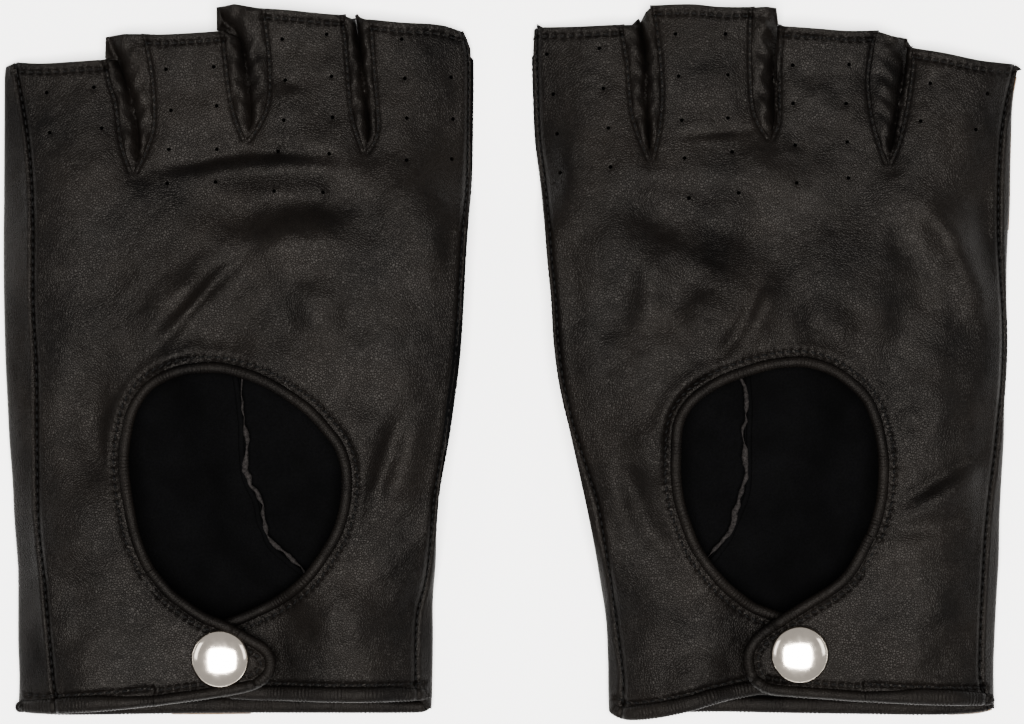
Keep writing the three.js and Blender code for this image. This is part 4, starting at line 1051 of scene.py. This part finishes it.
    def snap(self):
        """The press stud's four turned parts: each profile, the height it starts from, and its body."""
        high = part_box(self.side + "_snap_cap")[1].z / MM
        low = TAB_TOP + 0.12
        rise = min(high, low + 3.4) - low
        dome = [(CAP_RADIUS * math.cos(a) ** 0.8, 0.8 + (rise - 0.8) * math.sin(a))
                for a in np.linspace(0, np.pi / 2, 26)]
        cap = [(0, -1.2), (1.5, -1.2), (1.5, 0.0), (6.7, 0.0), (7.2, 0.1), (7.44, 0.4), *dome[:-1], (0, rise)]
        socket = [(2.5, -2.5), (4.6, -2.5), (5.2, -2.3), (5.5, -1.8), (5.5, -0.4), (5.1, 0), (2.8, 0),
                  (2.5, -0.2)]
        stud = [(0, 0), (4.9, 0), (5, 0.2), (4.9, 0.55), (4.2, 0.8), (1.9, 0.85), (1.5, 1.1), (1.5, 1.3),
                (1.85, 1.6), (1.9, 1.9), (1.6, 2.25), (0.9, 2.4), (0, 2.42)]
        post = [(0, -0.8), (4.1, -0.8), (4.5, -0.45), (4.4, 0), (1.2, 0.02), (1.2, 1.2), (0, 1.25)]
        pieces = (("snap_cap", cap, low, "tab"),
                  ("snap_socket", socket, TAB_TOP - 1.3, "tab"),
                  ("snap_stud", stud, TAB_TOP - 4.9, "glove"),
                  ("snap_post", post, TAB_TOP - 6.5, "glove"))
        for name, profile, z, body in pieces:
            co, faces = lathe(profile, (*self.stud, z))
            self.own(make(self.side, name, co, faces, "metal"), body, "metal", name)

    def thumb_seam_parts(self):
        """What shows of the thumb's seam through the keyhole: a curled raw edge beside a rolled one."""
        seam = resample(self.thumb_seam_inside, 0.35)
        s = lengths(seam)
        rng = np.random.default_rng(5 if self.side == "left" else 9)
        knots = np.linspace(0, s[-1], 34)
        jagged = np.interp(s, knots, rng.uniform(0.12, 0.95, 34)) * (0.4 + 0.6 * np.sin(np.pi * s / s[-1]))
        along = np.gradient(seam, axis=0)
        along /= np.linalg.norm(along, axis=1)[:, None]
        wander = 0.35 * np.sin(s / 2.6) + np.interp(s, knots, rng.uniform(-0.4, 0.4, 34))
        curled = seam + np.stack([-along[:, 1], along[:, 0]], axis=1) * wander[:, None]
        path = np.column_stack([curled, self.palm_low(seam) + LEATHER + 0.45])
        co, faces = tube(path, jagged, 0.85, 8, 0.12, 1.7)
        self.own_glove(make(self.side, "thumb_seam_raw_edge", co, faces, "raw"), "leather")
        roll = offset(seam, -1.1)
        path = np.column_stack([roll, self.palm_low(roll) + LEATHER + 0.3])
        co, faces = tube(path, 0.75, 0.7, 10, 0.06, 1.3)
        self.own_glove(make(self.side, "thumb_seam_roll", co, faces, "suede"), "leather")

    def under_hole(self, p):
        """Height of the leather that closes the palm's opening from below, sunk in its middle."""
        hole = self.thumb_hole()
        rim_away = near(p, np.vstack([hole, hole[:1]]))[0]
        sunk = 2.2 * smoothstep((p[:, 0] - 18) / 26) * smoothstep((rim_away - 1) / 6)
        return self.lift(p) - 0.35 - sunk

    def thumb_base(self):
        """The thumb's inner face below the opening, and the cup round it, open where the thumb swings."""
        wide = shrunk(self.thumb_hole(), -1.0)
        obj = self.sheet("thumb_inside", wide, self.under_hole, "suede", step=1.8, thickness=0.7)
        self.own_glove(obj, "leather")
        rows = [(0.01, 0), (8, 0), (15, 0.02), (19, 0.2), (20.6, 1.2), (21, 3.0), (20.6, 5.2), (19.6, 6.4)]
        rows += [(r - 0.9, z + (0.9 if r < 20 else 0.3)) for r, z in rows[::-1] if r > 1] + [(0.01, 0.9)]
        sides, count = 96, len(rows)
        turn = np.radians(np.linspace(CUP_START, CUP_START + CUP_ARC, sides))
        rim = self.swing + 20.6 * np.stack([np.cos(turn), np.sin(turn)], axis=1)
        tall = (self.under_hole(rim) - 1.0) / 6.4
        co = []
        for r, z in rows:
            co += [(self.swing[0] + r * math.cos(a), self.swing[1] + r * math.sin(a), z * h if z > 1.5 else z)
                   for a, h in zip(turn, tall)]
        faces = skin(count, sides, True, False)
        faces.append(tuple(j * sides for j in range(count)))
        faces.append(tuple(j * sides + sides - 1 for j in range(count))[::-1])
        obj = make(self.side, "thumb_base", co, faces, "leather")
        self.own_glove(obj, "leather", "thumb_base")

    def thumb_stall(self):
        """The flattened thumb: a tube with a turned hem, open at its far end."""
        lean = math.radians(THUMB_LEAN)
        axis = np.array([math.cos(lean), math.sin(lean)])
        cross = np.array([math.sin(lean), -math.cos(lean)])
        sides = 64
        turn = np.arange(sides) / sides * 2 * np.pi
        shape = np.stack([np.sign(np.cos(turn)) * np.abs(np.cos(turn)) ** 0.75,
                          np.sign(np.sin(turn)) * np.abs(np.sin(turn)) ** 0.85], axis=1)
        distance, half, tall = np.array([
            (16, 14.0, 2.3), (19, 14.8, 2.5), (21.5, 15.5, 2.9), (25, 15.9, 3.2), (32, 15.8, 3.35),
            (40, 15.4, 3.35), (48, 15.0, 3.3), (54, 14.8, 3.25), (56.6, 14.7, 3.1), (57.4, 14.8, 3.2),
            (59.6, 14.7, 3.2), (60, 14.4, 3.0)]).T
        at = np.linspace(distance[0], distance[-1], 60)
        outer = np.stack([at, np.interp(at, distance, half), np.interp(at, distance, tall)], axis=1)
        loops = np.vstack([outer, (outer - (0, LEATHER, LEATHER))[::-1]])
        co = []
        for r, a, b in loops:
            wave = 0.12 * np.sin(r * 0.8 + 3 * turn) + 0.1 * np.sin(r * 0.33 + 5 * turn)
            for (x, y), w in zip(shape, wave):
                flat = self.swing + axis * r + cross * (a * x)
                co.append((flat[0], flat[1], 3.5 + (b + 0.5 * w) * y))
        faces = [(a, d, c, b) for a, b, c, d in skin(len(loops), sides, True)]
        obj = make(self.side, "thumb_stall", co, faces, "leather")
        self.own(obj, "thumb", "leather", "thumb_stall")

    def seam_allowances(self):
        """The leather turned in behind each long seam, between the wrist and the fingers."""
        for name, seam in (("little", self.little_seam), ("thumb", self.thumb_seam)):
            s = lengths(seam)
            path = resample(seam[s < s[-1] - 6], 0.8)
            high = self.top(path) - LEATHER - 0.35
            co, faces = tube(np.column_stack([path, high]), 1.3, 0.45, 8, 0.06, 1.7)
            self.own_glove(make(self.side, f"seam_allowance_{name}", co, faces, "suede"), "leather")

    def raw_rims(self):
        """Where the leather's undyed edge shows as a thin brown line."""
        for i, (path, z) in enumerate(self.rims):
            co, faces = tube(np.column_stack([path, np.full(len(path), z)]), 0.2, 0.3, 6, 0.1, 1.3)
            self.own_glove(make(self.side, f"undyed_rim_{i}", co, faces, "brown"), "leather")

    def build(self):
        self.back_panel()
        self.raw_rims()
        self.seam_allowances()
        self.palm_panel()
        self.fourchettes()
        self.bindings()
        self.tab_panel()
        self.threads()
        self.snap()
        self.thumb_seam_parts()
        self.thumb_base()
        self.thumb_stall()


for _side in PLANS:
    Glove(_side).build()

# ------------------------------------------------------------------------------- studio
floor = bpy.data.meshes.new("floor")
floor.from_pydata([(-3, -3, 0), (3, -3, 0), (3, 3, 0), (-3, 3, 0)], [], [(0, 1, 2, 3)])
floor_obj = bpy.data.objects.new("floor", floor)
bpy.context.scene.collection.objects.link(floor_obj)


def paper(k):
    k.feed("Base Color", k.mixed(k.noise(40, 2), (0.95, 0.95, 0.95), (0.965, 0.965, 0.965)))
    k.feed("Roughness", 0.9)
    k.feed("Emission Color", (1, 1, 1, 1))
    k.feed("Emission Strength", 0.4)


floor.materials.append(node_material("paper", paper))


def area(name, location, size, power):
    """A warm softbox aimed at the middle of the floor."""
    light = bpy.data.lights.new(name, "AREA")
    light.shape = "RECTANGLE"
    light.size, light.size_y = size
    light.energy = power
    light.color = (1.0, 0.98, 0.955)
    obj = bpy.data.objects.new(name, light)
    bpy.context.scene.collection.objects.link(obj)
    obj.location = location
    obj.rotation_euler = (-Vector(location)).to_track_quat("-Z", "Y").to_euler()


area("key", (0.0, -0.25, 1.9), (1.3, 1.0), 200)
area("left", (-1.3, 0.3, 0.8), (0.9, 0.5), 6)
area("right", (1.3, 0.3, 0.8), (0.9, 0.5), 6)
world = bpy.data.worlds.new("studio")
world.use_nodes = True
world.node_tree.nodes["Background"].inputs[0].default_value = (1, 1, 1, 1)
world.node_tree.nodes["Background"].inputs[1].default_value = 0.6
bpy.context.scene.world = world

camera = bpy.data.cameras.new("camera")
camera.sensor_width = 36
camera.lens = 162.4
camera.clip_end = 10
camera_obj = bpy.data.objects.new("camera", camera)
bpy.context.scene.collection.objects.link(camera_obj)
camera_obj.location = (0.00026, -0.0004, 1.2)
bpy.context.scene.camera = camera_obj

bpy.context.view_layer.update()
